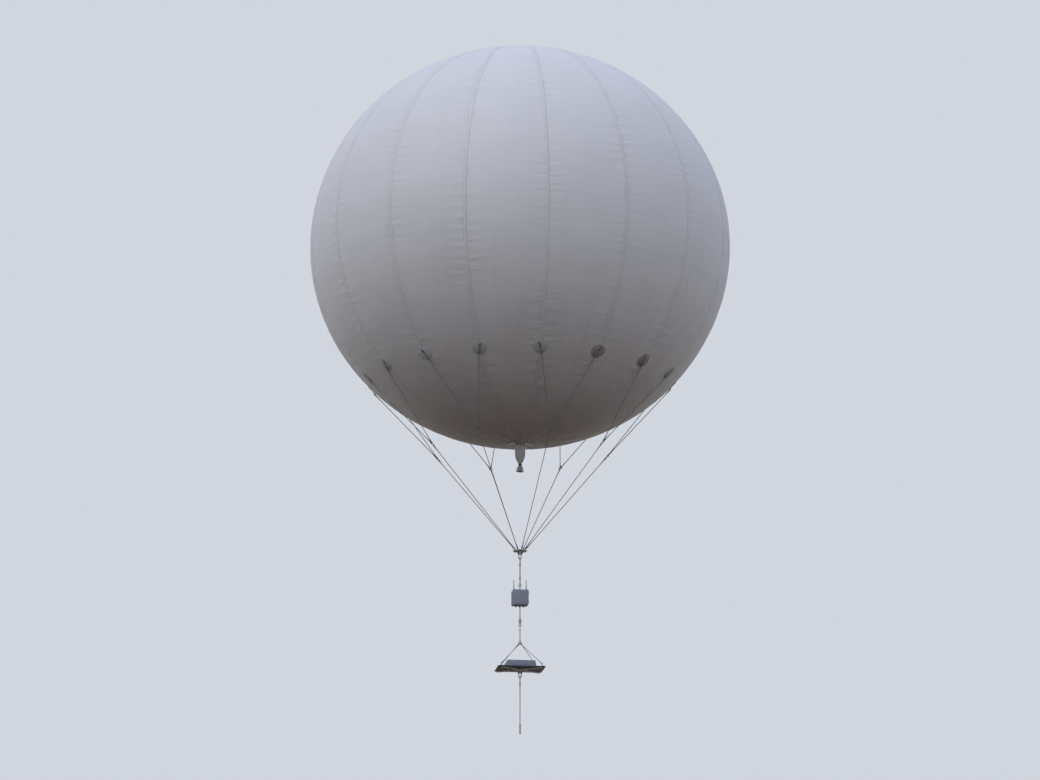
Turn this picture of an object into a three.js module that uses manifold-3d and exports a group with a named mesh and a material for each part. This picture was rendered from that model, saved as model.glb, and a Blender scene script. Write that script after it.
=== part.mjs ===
// A tethered helium balloon of 6 m diameter with its payload train, in millimetres, +Z up.
// The origin is the centre of the envelope. Everything else hangs below it on one vertical line.
import * as THREE from "three";
import { mergeVertices } from "three/addons/utils/BufferGeometryUtils.js";
import Module from "manifold-3d";

const wasm = await Module();
wasm.setup();

// Gap left between two pieces that touch.
const SEAT = 0.3;

// Envelope: a slightly flattened sphere sewn from gores, with a round neck at the bottom.
const ENVELOPE_RADIUS = 3000;
const ENVELOPE_HALF_HEIGHT = 2895;
const ENVELOPE_WALL = 10;
const GORES = 16;
const FACETS_PER_GORE = 4;
const RINGS_BELOW_PATCHES = 5;
const RINGS_ABOVE_PATCHES = 14;
const GORE_BULGE = 14;
const NECK_RADIUS = 150;
const CROWN_PATCH_RADIUS = 280;
const CROWN_PATCH_THICKNESS = 6;

// Closing plate, filling sleeve and valve at the neck.
const FLANGE_RADIUS = 185;
const FLANGE_THICKNESS = 12;
const SLEEVE_RADIUS = 70;
const SLEEVE_LENGTH = 390;
const VALVE_RADIUS = 32;
const VALVE_HEIGHT = 45;
const VALVE_OFFSET = 125;

// Load patches on the seams, and the crow's feet that gather them.
const PATCH_LATITUDE = THREE.MathUtils.degToRad(43);
const PATCH_RADIUS = 110;
const PATCH_THICKNESS = 8;
const LINE_RADIUS = 5;
const LINE_BUTTON = { radius: 9, height: 16 };
const CROWS_FOOT_SHARE = 0.4;

// Load ring: a round plate with a lug below.
const LOAD_RING_TOP = -4440;
const LOAD_RING_RADIUS = 100;
const LOAD_RING_THICKNESS = 14;
const LINE_CIRCLE_RADIUS = 80;

// Lugs and shackles are alike above and below.
const LUG = { thickness: 14, halfWidth: 22, pinDrop: 34, holeRadius: 8.5 };
const SHACKLE = { pinRadius: 8, rodRadius: 7, halfGap: 20, legLength: 52, headReach: 34, bossRadius: 14 };

// Thimbles at the rope ends, as rings of round section.
const THIMBLE = { radius: 22, section: 5 };
const SMALL_THIMBLE = { radius: 18, section: 5 };
const EYE = { radius: 18, section: 6 };

// Strop between the upper shackle and the load rod.
const STROP_RADIUS = 7;
const STROP_LOWER_EYE = -4947;

// Control box on the load rod.
const BOX_WIDTH = 230;
const BOX_DEPTH = 160;
const BOX_HEIGHT = 220;
const BOX_CENTRE = -5130;
const BOX_WALL = 4;
const DOOR_THICKNESS = 13.5;
const ROD_RADIUS = 8;
const ROD_END = -5430;
const NUT_RADIUS = 18;
const NUT_HEIGHT = 8;
const BATTERY = { width: 60, depth: 76, height: 100, offset: 62, back: 35 };
const ANTENNA = { offset: 88, baseRadius: 9, baseHeight: 22, rodRadius: 4.5, length: 150 };

// Hinges of the door and the hatch: knuckle radius, pin radius, and the knuckles' length.
const HINGE = { knuckle: 5, pin: 2.5, bore: 2.9, length: 26, leaf: 3 };

// Swivel below the box, and the drop line.
const SWIVEL = { radius: 20, neckRadius: 12, neckHeight: 10, height: 60, wall: 6, bore: 8.5 };
const SWIVEL_SHAFT = { collarRadius: 13, collarHeight: 12, reach: 12 };
const DROP_LINE_RADIUS = 5;
const DROP_LINE_LOWER_EYE = -5770;

// Instrument platform with its bridle.
const BRIDLE_RING = { radius: 20, section: 6 };
const BRIDLE_RADIUS = 4;
const BRIDLE_END_RADIUS = 7;
const BRIDLE_HEAD = { x: 13, drop: 16 };
const BRIDLE_FOOT = { x: 290, y: 200 };
const FOOT_EYE = { radius: 12, section: 4, neck: 8 };
const PLATE_WIDTH = 680;
const PLATE_DEPTH = 500;
const PLATE_CORNER = 40;
const PLATE_THICKNESS = 6;
const PLATE_TOP = -6152;
const FRAME_HEIGHT = 16;
const FRAME_WIDTH = 36;
const POST_RADIUS = 6;
const HOUSING = { lowerWidth: 440, upperWidth: 400, depth: 320, height: 96, wall: 4 };
const HATCH = { width: 300, height: 72, thickness: 5, openingWidth: 276, openingHeight: 54 };
const PLATFORM_BATTERY = { width: 180, depth: 110, height: 60, back: 55 };

// Tether leader below the platform, ending in a flat-sided eye.
const LEADER_RADIUS = 6;
const LEADER_EYE = { centre: -7065, outer: 30, inner: 13, thickness: 16 };

const paint = (color, roughness, metalness) =>
  new THREE.MeshStandardMaterial({ color, roughness, metalness });
const materials = {
  envelope: paint(0xd8dade, 0.55, 0),
  patch: paint(0xb9bcc2, 0.7, 0),
  rope: paint(0x8f9298, 0.85, 0),
  steel: paint(0x9a9da1, 0.35, 1),
  aluminium: paint(0xa9acb0, 0.45, 1),
  casing: paint(0x9a9eaa, 0.6, 0),
  battery: paint(0x23252a, 0.7, 0),
  plate: paint(0x898f9e, 0.5, 0),
  antenna: paint(0x17181a, 0.75, 0),
};

// Joins and cuts on closed meshes.
function solid(geometry) {
  const bare = geometry.clone();
  bare.deleteAttribute("normal");
  bare.deleteAttribute("uv");
  const merged = mergeVertices(bare, 1e-3);
  return new wasm.Manifold(
    new wasm.Mesh({
      numProp: 3,
      vertProperties: merged.attributes.position.array,
      triVerts: new Uint32Array(merged.index.array),
    }),
  );
}

function geometryOf(manifold) {
  const mesh = manifold.getMesh();
  const geometry = new THREE.BufferGeometry();
  geometry.setAttribute("position", new THREE.BufferAttribute(mesh.vertProperties, 3));
  geometry.setIndex(new THREE.BufferAttribute(mesh.triVerts, 1));
  return geometry;
}

const join = (first, ...others) =>
  geometryOf(others.reduce((sum, other) => sum.add(solid(other)), solid(first)));
const cut = (first, ...others) =>
  geometryOf(others.reduce((rest, other) => rest.subtract(solid(other)), solid(first)));

// Basic shapes, all placed in the balloon's own frame.
const at = (x, y, z) => new THREE.Vector3(x, y, z);

function block(width, depth, height, x, y, z) {
  return new THREE.BoxGeometry(width, depth, height).translate(x, y, z);
}

// A round bar from one point to another.
function bar(from, to, radius, sides = 8) {
  const along = to.clone().sub(from);
  const turn = new THREE.Quaternion().setFromUnitVectors(at(0, 1, 0), along.clone().normalize());
  const middle = from.clone().add(to).multiplyScalar(0.5);
  return new THREE.CylinderGeometry(radius, radius, along.length(), sides)
    .applyQuaternion(turn)
    .translate(middle.x, middle.y, middle.z);
}

const upright = (radius, low, high, x = 0, y = 0, sides = 24) =>
  bar(at(x, y, low), at(x, y, high), radius, sides);

const ball = (centre, radius, detail = 1) =>
  new THREE.IcosahedronGeometry(radius, detail).translate(centre.x, centre.y, centre.z);

// A ring of round section standing upright. Its hole runs along "x" or "y".
function ring(shape, holeAxis, centreZ) {
  const torus = new THREE.TorusGeometry(shape.radius, shape.section, 6, 16);
  if (holeAxis === "x") torus.rotateY(Math.PI / 2);
  else torus.rotateX(Math.PI / 2);
  return torus.translate(0, 0, centreZ);
}

// A closed turned shape from a list of [radius, height] pairs.
function turned(profile, sides = 32) {
  const points = profile.map(([radius, height]) => new THREE.Vector2(radius, height));
  return new THREE.LatheGeometry(points, sides).rotateX(Math.PI / 2);
}

const balloon = new THREE.Group();
function add(name, geometry, material) {
  const mesh = new THREE.Mesh(geometry, material);
  mesh.name = name;
  balloon.add(mesh);
}

// Envelope: the profile runs up the outside from the neck to the crown, and down the inside.
const neckLatitude = -Math.acos(NECK_RADIUS / ENVELOPE_RADIUS);
function envelopePoint(latitude, inset) {
  const radius = (ENVELOPE_RADIUS - inset) * Math.cos(latitude);
  const height = (ENVELOPE_HALF_HEIGHT - inset) * Math.sin(latitude);
  return [radius, height];
}

// Rings of vertices: one of them passes through the load patches, so that these touch the shell.
const lowerStep = (-PATCH_LATITUDE - neckLatitude) / RINGS_BELOW_PATCHES;
const upperStep = (Math.PI / 2 + PATCH_LATITUDE) / RINGS_ABOVE_PATCHES;
function envelopeShell() {
  const latitudes = [];
  for (let i = 0; i < RINGS_BELOW_PATCHES; i++) latitudes.push(neckLatitude + i * lowerStep);
  for (let i = 0; i <= RINGS_ABOVE_PATCHES; i++) latitudes.push(-PATCH_LATITUDE + i * upperStep);
  const outside = latitudes.map((latitude) => envelopePoint(latitude, 0));
  const inside = latitudes.map((latitude) => envelopePoint(latitude, ENVELOPE_WALL));
  outside.at(-1)[0] = 0;
  inside.at(-1)[0] = 0;
  inside[0] = [NECK_RADIUS, outside[0][1] + ENVELOPE_WALL];
  const shell = turned([...outside, ...inside.reverse(), outside[0]], GORES * FACETS_PER_GORE);

  // Gas pressure bulges each gore a little between its seams.
  const position = shell.getAttribute("position");
  for (let i = 0; i < position.count; i++) {
    const x = position.getX(i);
    const y = position.getY(i);
    const radius = Math.hypot(x, y);
    if (radius < NECK_RADIUS + 1) continue;
    const across = (Math.atan2(x, -y) / (2 * Math.PI)) * GORES;
    const width = radius / ENVELOPE_RADIUS;
    const swell = 1 + (GORE_BULGE * width ** 2 * Math.sin(Math.PI * across) ** 2) / radius;
    position.setXY(i, x * swell, y * swell);
  }
  return shell;
}
add("envelope", envelopeShell(), materials.envelope);

// Crown patch: a cap on the flat cone that the uppermost ring of the shell makes.
const firstRing = envelopePoint(Math.PI / 2 - upperStep, 0);
const crownEdge =
  ENVELOPE_HALF_HEIGHT -
  ((ENVELOPE_HALF_HEIGHT - firstRing[1]) * CROWN_PATCH_RADIUS) / firstRing[0];
add(
  "crown_patch",
  turned([
    [0, ENVELOPE_HALF_HEIGHT + SEAT],
    [CROWN_PATCH_RADIUS, crownEdge + SEAT],
    [CROWN_PATCH_RADIUS, crownEdge + SEAT + CROWN_PATCH_THICKNESS],
    [0, ENVELOPE_HALF_HEIGHT + SEAT + CROWN_PATCH_THICKNESS],
  ]),
  materials.patch,
);

// Neck: a flanged plate fills it, and carries the tied sleeve and the relief valve.
const neckEdge = envelopePoint(neckLatitude, 0)[1];
const flangeBottom = neckEdge - SEAT - FLANGE_THICKNESS;
const plugRadius = NECK_RADIUS - 2 * SEAT;
add(
  "neck_flange",
  turned([
    [0, flangeBottom],
    [FLANGE_RADIUS, flangeBottom],
    [FLANGE_RADIUS, neckEdge - SEAT],
    [plugRadius, neckEdge - SEAT],
    [plugRadius, neckEdge + ENVELOPE_WALL],
    [0, neckEdge + ENVELOPE_WALL],
  ]),
  materials.aluminium,
);
const sleeveTop = flangeBottom - SEAT;
add(
  "neck_sleeve",
  turned(
    [
      [0, sleeveTop - SLEEVE_LENGTH],
      [0.5 * SLEEVE_RADIUS, sleeveTop - SLEEVE_LENGTH],
      [0.62 * SLEEVE_RADIUS, sleeveTop - 0.9 * SLEEVE_LENGTH],
      [0.24 * SLEEVE_RADIUS, sleeveTop - 0.76 * SLEEVE_LENGTH],
      [0.24 * SLEEVE_RADIUS, sleeveTop - 0.71 * SLEEVE_LENGTH],
      [0.86 * SLEEVE_RADIUS, sleeveTop - 0.5 * SLEEVE_LENGTH],
      [SLEEVE_RADIUS, sleeveTop],
      [0, sleeveTop],
    ],
    24,
  ),
  materials.patch,
);
add(
  "relief_valve",
  join(
    upright(VALVE_RADIUS, sleeveTop - VALVE_HEIGHT, sleeveTop, 0, VALVE_OFFSET),
    upright(0.6 * VALVE_RADIUS, sleeveTop - 1.4 * VALVE_HEIGHT, sleeveTop - 1, 0, VALVE_OFFSET),
  ),
  materials.aluminium,
);

// Load patches sit on the seams. The seam at angle 0 faces -Y, and angles grow towards +X.
const seamAngle = (seam) => (seam * 2 * Math.PI) / GORES;
const towards = (angle, radius, z) =>
  at(radius * Math.sin(angle), -radius * Math.cos(angle), z);
const [patchRing, patchHeight] = envelopePoint(-PATCH_LATITUDE, 0);
const outwardAt = (angle) =>
  towards(
    angle,
    Math.cos(PATCH_LATITUDE) / ENVELOPE_RADIUS,
    -Math.sin(PATCH_LATITUDE) / ENVELOPE_HALF_HEIGHT,
  ).normalize();
const onSeam = (seam, clearance) =>
  towards(seamAngle(seam), patchRing, patchHeight).addScaledVector(
    outwardAt(seamAngle(seam)),
    clearance,
  );
for (let seam = 0; seam < GORES; seam++)
  add(
    "load_patch_" + String(seam + 1).padStart(2, "0"),
    bar(onSeam(seam, SEAT), onSeam(seam, SEAT + PATCH_THICKNESS), PATCH_RADIUS, 16),
    materials.patch,
  );

// Load lines: each starts at two patches, joins in a crow's foot and ends on the load ring.
// A button at each end stands on the patch or the ring and holds the end of the line.
const buttonFoot = PATCH_THICKNESS + 2 * SEAT;
const buttonMiddle = buttonFoot + LINE_BUTTON.height / 2;
for (let pair = 0; pair < GORES / 2; pair++) {
  const seams = [2 * pair, 2 * pair + 1];
  const tops = seams.map((seam) => onSeam(seam, buttonMiddle));
  const ringEnd = (height) =>
    towards(seamAngle(2 * pair + 0.5), LINE_CIRCLE_RADIUS, LOAD_RING_TOP + SEAT + height);
  const foot = ringEnd(LINE_BUTTON.height / 2);
  const fork = tops[0].clone().add(tops[1]).multiplyScalar(0.5).lerp(foot, CROWS_FOOT_SHARE);
  add(
    "load_line_" + (pair + 1),
    join(
      ball(fork, 1.6 * LINE_RADIUS, 0),
      bar(tops[0], fork, LINE_RADIUS),
      bar(tops[1], fork, LINE_RADIUS),
      bar(fork, foot, LINE_RADIUS),
      ...seams.map((seam) =>
        bar(onSeam(seam, buttonFoot), onSeam(seam, buttonFoot + LINE_BUTTON.height), LINE_BUTTON.radius),
      ),
      bar(ringEnd(0), ringEnd(LINE_BUTTON.height), LINE_BUTTON.radius),
    ),
    materials.rope,
  );
}

// A lug hangs below a flat face at the height given. Its hole runs along X.
function lug(faceZ) {
  const pinZ = faceZ - LUG.pinDrop;
  const plate = block(LUG.thickness, 2 * LUG.halfWidth, LUG.pinDrop + 1, 0, 0, (faceZ + pinZ + 1) / 2);
  const tip = bar(at(-LUG.thickness / 2, 0, pinZ), at(LUG.thickness / 2, 0, pinZ), LUG.halfWidth, 32);
  const hole = bar(at(-LUG.thickness, 0, pinZ), at(LUG.thickness, 0, pinZ), LUG.holeRadius, 24);
  return cut(join(plate, tip), hole);
}

// A bow shackle on a pin along X, with the bow below.
class BowPath extends THREE.Curve {
  constructor(pinZ) {
    super();
    this.pinZ = pinZ;
  }
  getPoint(share) {
    const { halfGap, legLength } = SHACKLE;
    const total = 2 * legLength + Math.PI * halfGap;
    const travel = share * total;
    const bendZ = this.pinZ - legLength;
    if (travel < legLength) return at(-halfGap, 0, this.pinZ - travel);
    if (travel > total - legLength) return at(halfGap, 0, this.pinZ - (total - travel));
    const angle = (travel - legLength) / halfGap;
    return at(-halfGap * Math.cos(angle), 0, bendZ - halfGap * Math.sin(angle));
  }
}
const circle = (radius, sides) =>
  new THREE.Shape(
    Array.from({ length: sides }, (_, i) => {
      const angle = (2 * Math.PI * i) / sides;
      return new THREE.Vector2(radius * Math.cos(angle), radius * Math.sin(angle));
    }),
  );
function shackle(pinZ) {
  const { pinRadius, rodRadius, halfGap, headReach, bossRadius } = SHACKLE;
  const bow = new THREE.ExtrudeGeometry(circle(rodRadius, 8), {
    extrudePath: new BowPath(pinZ),
    steps: 18,
  });
  const boss = (side) =>
    bar(
      at(side * (halfGap - rodRadius), 0, pinZ),
      at(side * (halfGap + rodRadius), 0, pinZ),
      bossRadius,
      16,
    );
  const pin = bar(at(-headReach, 0, pinZ), at(headReach, 0, pinZ), pinRadius, 16);
  return join(bow, boss(-1), boss(1), pin);
}
const bowInside = (pinZ) => pinZ - SHACKLE.legLength - SHACKLE.halfGap + SHACKLE.rodRadius;

// Load ring with its lug.
const loadRingBottom = LOAD_RING_TOP - LOAD_RING_THICKNESS;
add(
  "load_ring",
  join(upright(LOAD_RING_RADIUS, loadRingBottom, LOAD_RING_TOP, 0, 0, 32), lug(loadRingBottom)),
  materials.aluminium,
);

// Upper shackle, and the strop hanging on its bow.
const upperPin = loadRingBottom - LUG.pinDrop;
add("upper_shackle", shackle(upperPin), materials.steel);

// A rope with a thimble at each end. The heights are the outer crowns of the rope in each eye.
function rope(radius, thimble, upperCrown, lowerCrown) {
  const upper = upperCrown - thimble.radius;
  const lower = lowerCrown + thimble.radius;
  return join(
    ring(thimble, "x", upper),
    ring(thimble, "x", lower),
    upright(radius, lower + thimble.radius, upper - thimble.radius, 0, 0, 12),
  );
}
const stropCrown = bowInside(upperPin) + SEAT + THIMBLE.section;
add("strop", rope(STROP_RADIUS, THIMBLE, stropCrown, STROP_LOWER_EYE), materials.rope);

// Load rod: an eye on the strop, nuts above and below the box, and a plain end for the swivel.
const boxTop = BOX_CENTRE + BOX_HEIGHT / 2;
const boxBottom = BOX_CENTRE - BOX_HEIGHT / 2;
const rodCrown = STROP_LOWER_EYE + THIMBLE.section + EYE.section + SEAT;
const rodEye = rodCrown - EYE.radius;
add(
  "load_rod",
  join(
    ring(EYE, "y", rodEye),
    upright(ROD_RADIUS, ROD_END, rodEye - EYE.radius),
    upright(NUT_RADIUS, boxTop + SEAT, boxTop + SEAT + NUT_HEIGHT, 0, 0, 6),
    upright(NUT_RADIUS, boxBottom - SEAT - NUT_HEIGHT, boxBottom - SEAT, 0, 0, 6),
  ),
  materials.steel,
);

// A hinge along its own Z. Knuckles of the fixed part are at both ends, the moving one between.
// Each leaf runs from the axis for the distance given, towards the direction given.
function hinge(fixedReach, fixedDirection, movingReach, movingDirection) {
  const { knuckle, pin, bore, length, leaf } = HINGE;
  const gap = 0.5;
  const leafTo = (reach, [dx, dy], z) => {
    const plate = new THREE.BoxGeometry(reach, leaf, length).translate(reach / 2, 0, 0);
    return plate.rotateZ(Math.atan2(dy, dx)).translate(0, 0, z);
  };
  const fixed = [-1, 1].flatMap((end) => {
    const z = end * (length + gap);
    return [upright(knuckle, z - length / 2, z + length / 2, 0, 0, 16), leafTo(fixedReach, fixedDirection, z)];
  });
  const axle = upright(pin, -1.5 * length, 1.5 * length, 0, 0, 12);
  const moving = join(upright(knuckle, -length / 2, length / 2, 0, 0, 16), leafTo(movingReach, movingDirection, 0));
  return {
    fixed: join(...fixed, axle),
    moving: cut(moving, upright(bore, -length, length, 0, 0, 12)),
  };
}

// Control box: a hollow case open to -Y, bored for the rod, with hinge knuckles on its left edge.
const doorFace = -BOX_DEPTH / 2 + DOOR_THICKNESS;
const caseFront = doorFace + 2 * SEAT;
const caseDepth = BOX_DEPTH / 2 - caseFront;
const caseMiddle = (BOX_DEPTH / 2 + caseFront) / 2;
const doorHingeX = -BOX_WIDTH / 2 - HINGE.knuckle - 1;
const doorHingeY = (doorFace + caseFront) / 2;
const doorHinge = hinge(10, [0.6, 0.8], 10, [0.6, -0.8]);
const placeDoorHinge = (geometry) => geometry.clone().translate(doorHingeX, doorHingeY, BOX_CENTRE);
add(
  "control_box",
  join(
    cut(
      block(BOX_WIDTH, caseDepth, BOX_HEIGHT, 0, caseMiddle, BOX_CENTRE),
      block(
        BOX_WIDTH - 2 * BOX_WALL,
        caseDepth,
        BOX_HEIGHT - 2 * BOX_WALL,
        0,
        caseMiddle - BOX_WALL,
        BOX_CENTRE,
      ),
      upright(ROD_RADIUS + SEAT, boxBottom - 1, boxTop + 1),
    ),
    placeDoorHinge(doorHinge.fixed),
  ),
  materials.casing,
);
add(
  "control_box_door",
  join(
    block(
      BOX_WIDTH,
      DOOR_THICKNESS,
      BOX_HEIGHT,
      0,
      doorFace - DOOR_THICKNESS / 2,
      BOX_CENTRE,
    ),
    placeDoorHinge(doorHinge.moving),
  ),
  materials.casing,
);
const boxFloor = boxBottom + BOX_WALL;
for (const [side, name] of [
  [-1, "battery_left"],
  [1, "battery_right"],
])
  add(
    name,
    block(
      BATTERY.width,
      BATTERY.depth,
      BATTERY.height,
      side * BATTERY.offset,
      BATTERY.back,
      boxFloor + SEAT + BATTERY.height / 2,
    ),
    materials.battery,
  );
for (const [side, name] of [
  [-1, "antenna_left"],
  [1, "antenna_right"],
]) {
  const x = side * ANTENNA.offset;
  const foot = boxTop + SEAT;
  add(
    name,
    join(
      upright(ANTENNA.baseRadius, foot, foot + ANTENNA.baseHeight, x, 0, 16),
      upright(ANTENNA.rodRadius, foot + 1, foot + ANTENNA.length, x, 0, 12),
    ),
    materials.antenna,
  );
}

// Swivel: the barrel is screwed to the rod, and the shaft turns in it on a collar.
const barrelTop = ROD_END - SEAT;
const barrelBottom = barrelTop - SWIVEL.height;
const cavityTop = barrelTop - SWIVEL.neckHeight - SWIVEL.wall;
const cavityBottom = barrelBottom + SWIVEL.wall;
add(
  "swivel_barrel",
  turned([
    [0, barrelTop],
    [0, cavityTop],
    [SWIVEL.radius - SWIVEL.wall, cavityTop],
    [SWIVEL.radius - SWIVEL.wall, cavityBottom],
    [SWIVEL.bore, cavityBottom],
    [SWIVEL.bore, barrelBottom],
    [SWIVEL.radius, barrelBottom],
    [SWIVEL.radius, barrelTop - SWIVEL.neckHeight],
    [SWIVEL.neckRadius, barrelTop - SWIVEL.neckHeight],
    [SWIVEL.neckRadius, barrelTop],
    [0, barrelTop],
  ]),
  materials.steel,
);
const swivelEye = barrelBottom - SWIVEL_SHAFT.reach - EYE.radius;
const collarBottom = cavityBottom + SEAT;
add(
  "swivel_shaft",
  join(
    upright(SWIVEL_SHAFT.collarRadius, collarBottom, collarBottom + SWIVEL_SHAFT.collarHeight),
    upright(ROD_RADIUS, swivelEye + EYE.radius, collarBottom + 1),
    ring(EYE, "y", swivelEye),
  ),
  materials.steel,
);

// Drop line from the swivel to the bridle ring.
const swivelLowerRod = swivelEye - EYE.radius;
const dropCrown = swivelLowerRod + EYE.section + SEAT + SMALL_THIMBLE.section;
add(
  "drop_line",
  rope(DROP_LINE_RADIUS, SMALL_THIMBLE, dropCrown, DROP_LINE_LOWER_EYE),
  materials.rope,
);

// Bridle: a ring on the drop line and four legs to the corners of the platform.
const bridleCrown = DROP_LINE_LOWER_EYE + SMALL_THIMBLE.section + SEAT + BRIDLE_RING.section;
const bridleCentre = bridleCrown - BRIDLE_RING.radius;
add("bridle_ring", ring(BRIDLE_RING, "y", bridleCentre), materials.steel);
const footEyeZ = PLATE_TOP + FOOT_EYE.neck + FOOT_EYE.section + FOOT_EYE.radius;
const legHead = {
  x: BRIDLE_HEAD.x,
  y: BRIDLE_RING.section + BRIDLE_END_RADIUS - 2 * SEAT,
  z: bridleCentre - BRIDLE_HEAD.drop,
};
const corners = [
  [-1, -1],
  [1, -1],
  [1, 1],
  [-1, 1],
];
corners.forEach(([sx, sy], i) => {
  const head = at(sx * legHead.x, sy * legHead.y, legHead.z);
  const foot = at(
    sx * BRIDLE_FOOT.x,
    sy * BRIDLE_FOOT.y,
    footEyeZ + FOOT_EYE.radius + FOOT_EYE.section + BRIDLE_END_RADIUS + SEAT,
  );
  add(
    "bridle_leg_" + (i + 1),
    join(bar(head, foot, BRIDLE_RADIUS), ball(head, BRIDLE_END_RADIUS), ball(foot, BRIDLE_END_RADIUS)),
    materials.rope,
  );
});

// Platform frame: two crossed beams with the tether lug below and an eye post at each corner.
const plateBottom = PLATE_TOP - PLATE_THICKNESS;
const frameTop = plateBottom - SEAT;
const frameBottom = frameTop - FRAME_HEIGHT;
const beamLength = 2 * Math.hypot(BRIDLE_FOOT.x, BRIDLE_FOOT.y) + FRAME_WIDTH;
const beamAngle = Math.atan2(BRIDLE_FOOT.y, BRIDLE_FOOT.x);
const beam = (angle) =>
  new THREE.BoxGeometry(beamLength, FRAME_WIDTH, FRAME_HEIGHT)
    .rotateZ(angle)
    .translate(0, 0, frameTop - FRAME_HEIGHT / 2);
const posts = corners.flatMap(([sx, sy]) => {
  const x = sx * BRIDLE_FOOT.x;
  const y = sy * BRIDLE_FOOT.y;
  const eye = ring(FOOT_EYE, "x", footEyeZ).translate(x, y, 0);
  return [upright(POST_RADIUS, frameTop - 1, footEyeZ - FOOT_EYE.radius, x, y, 12), eye];
});
add(
  "platform_frame",
  join(beam(beamAngle), beam(-beamAngle), lug(frameBottom), ...posts),
  materials.aluminium,
);

// Platform plate with rounded corners, bored for the posts.
function roundedPlate() {
  const halfWidth = PLATE_WIDTH / 2 - PLATE_CORNER;
  const halfDepth = PLATE_DEPTH / 2 - PLATE_CORNER;
  const outline = new THREE.Shape();
  outline.absarc(halfWidth, halfDepth, PLATE_CORNER, 0, Math.PI / 2);
  outline.absarc(-halfWidth, halfDepth, PLATE_CORNER, Math.PI / 2, Math.PI);
  outline.absarc(-halfWidth, -halfDepth, PLATE_CORNER, Math.PI, 1.5 * Math.PI);
  outline.absarc(halfWidth, -halfDepth, PLATE_CORNER, 1.5 * Math.PI, 2 * Math.PI);
  return new THREE.ExtrudeGeometry(outline, {
    depth: PLATE_THICKNESS,
    bevelEnabled: false,
    curveSegments: 6,
  }).translate(0, 0, plateBottom);
}
add(
  "platform_plate",
  cut(
    roundedPlate(),
    ...corners.map(([sx, sy]) =>
      upright(POST_RADIUS + 0.4, plateBottom - 1, PLATE_TOP + 1, sx * BRIDLE_FOOT.x, sy * BRIDLE_FOOT.y, 12),
    ),
  ),
  materials.plate,
);

// Instrument housing: sloping ends, upright front and back, open below, with a hatch opening.
const housingBottom = PLATE_TOP + SEAT;
function taperedBlock(lowerWidth, upperWidth, depth, low, high) {
  const outline = new THREE.Shape([
    new THREE.Vector2(-lowerWidth / 2, low),
    new THREE.Vector2(lowerWidth / 2, low),
    new THREE.Vector2(upperWidth / 2, high),
    new THREE.Vector2(-upperWidth / 2, high),
  ]);
  return new THREE.ExtrudeGeometry(outline, { depth, bevelEnabled: false })
    .rotateX(Math.PI / 2)
    .translate(0, depth / 2, 0);
}
const hatchFace = -HOUSING.depth / 2;
const hatchMiddle = housingBottom + HOUSING.height / 2 + 2;
const hatchHingeY = hatchFace - HINGE.knuckle - 1;
const hatchHingeZ = hatchMiddle - HATCH.height / 2 - HINGE.knuckle - 2 * SEAT;
const hatchHinge = hinge(HINGE.knuckle + 2, [1, 0], HINGE.knuckle + 2, [0, 1]);
// The hinge lies along X, its own X towards the housing and its own Y upwards.
const placeHatchHinge = (geometry) => {
  const turn = new THREE.Matrix4().makeBasis(at(0, 1, 0), at(0, 0, 1), at(1, 0, 0));
  return geometry.clone().applyMatrix4(turn).translate(0, hatchHingeY, hatchHingeZ);
};
add(
  "instrument_housing",
  join(
    cut(
      taperedBlock(HOUSING.lowerWidth, HOUSING.upperWidth, HOUSING.depth, housingBottom, housingBottom + HOUSING.height),
      taperedBlock(
        HOUSING.lowerWidth - 2 * HOUSING.wall,
        HOUSING.upperWidth - 2 * HOUSING.wall,
        HOUSING.depth - 2 * HOUSING.wall,
        housingBottom - 1,
        housingBottom + HOUSING.height - HOUSING.wall,
      ),
      block(HATCH.openingWidth, 4 * HOUSING.wall, HATCH.openingHeight, 0, hatchFace, hatchMiddle),
    ),
    placeHatchHinge(hatchHinge.fixed),
  ),
  materials.plate,
);
add(
  "instrument_hatch",
  join(
    block(
      HATCH.width,
      HATCH.thickness,
      HATCH.height,
      0,
      hatchFace - SEAT - HATCH.thickness / 2,
      hatchMiddle,
    ),
    placeHatchHinge(hatchHinge.moving),
  ),
  materials.casing,
);
add(
  "platform_battery",
  block(
    PLATFORM_BATTERY.width,
    PLATFORM_BATTERY.depth,
    PLATFORM_BATTERY.height,
    0,
    PLATFORM_BATTERY.back,
    PLATE_TOP + SEAT + PLATFORM_BATTERY.height / 2,
  ),
  materials.battery,
);

// Tether shackle and leader below the platform.
const tetherPin = frameBottom - LUG.pinDrop;
add("tether_shackle", shackle(tetherPin), materials.steel);
const leaderCrown = bowInside(tetherPin) + SEAT + THIMBLE.section;
const leaderUpper = leaderCrown - THIMBLE.radius;
const endPlate = cut(
  bar(
    at(-LEADER_EYE.thickness / 2, 0, LEADER_EYE.centre),
    at(LEADER_EYE.thickness / 2, 0, LEADER_EYE.centre),
    LEADER_EYE.outer,
    32,
  ),
  bar(
    at(-LEADER_EYE.thickness, 0, LEADER_EYE.centre),
    at(LEADER_EYE.thickness, 0, LEADER_EYE.centre),
    LEADER_EYE.inner,
    24,
  ),
);
add(
  "tether_leader",
  join(
    ring(THIMBLE, "x", leaderUpper),
    upright(LEADER_RADIUS, LEADER_EYE.centre + LEADER_EYE.outer - 3, leaderUpper - THIMBLE.radius, 0, 0, 12),
    endPlate,
  ),
  materials.rope,
);

export default balloon;
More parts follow.
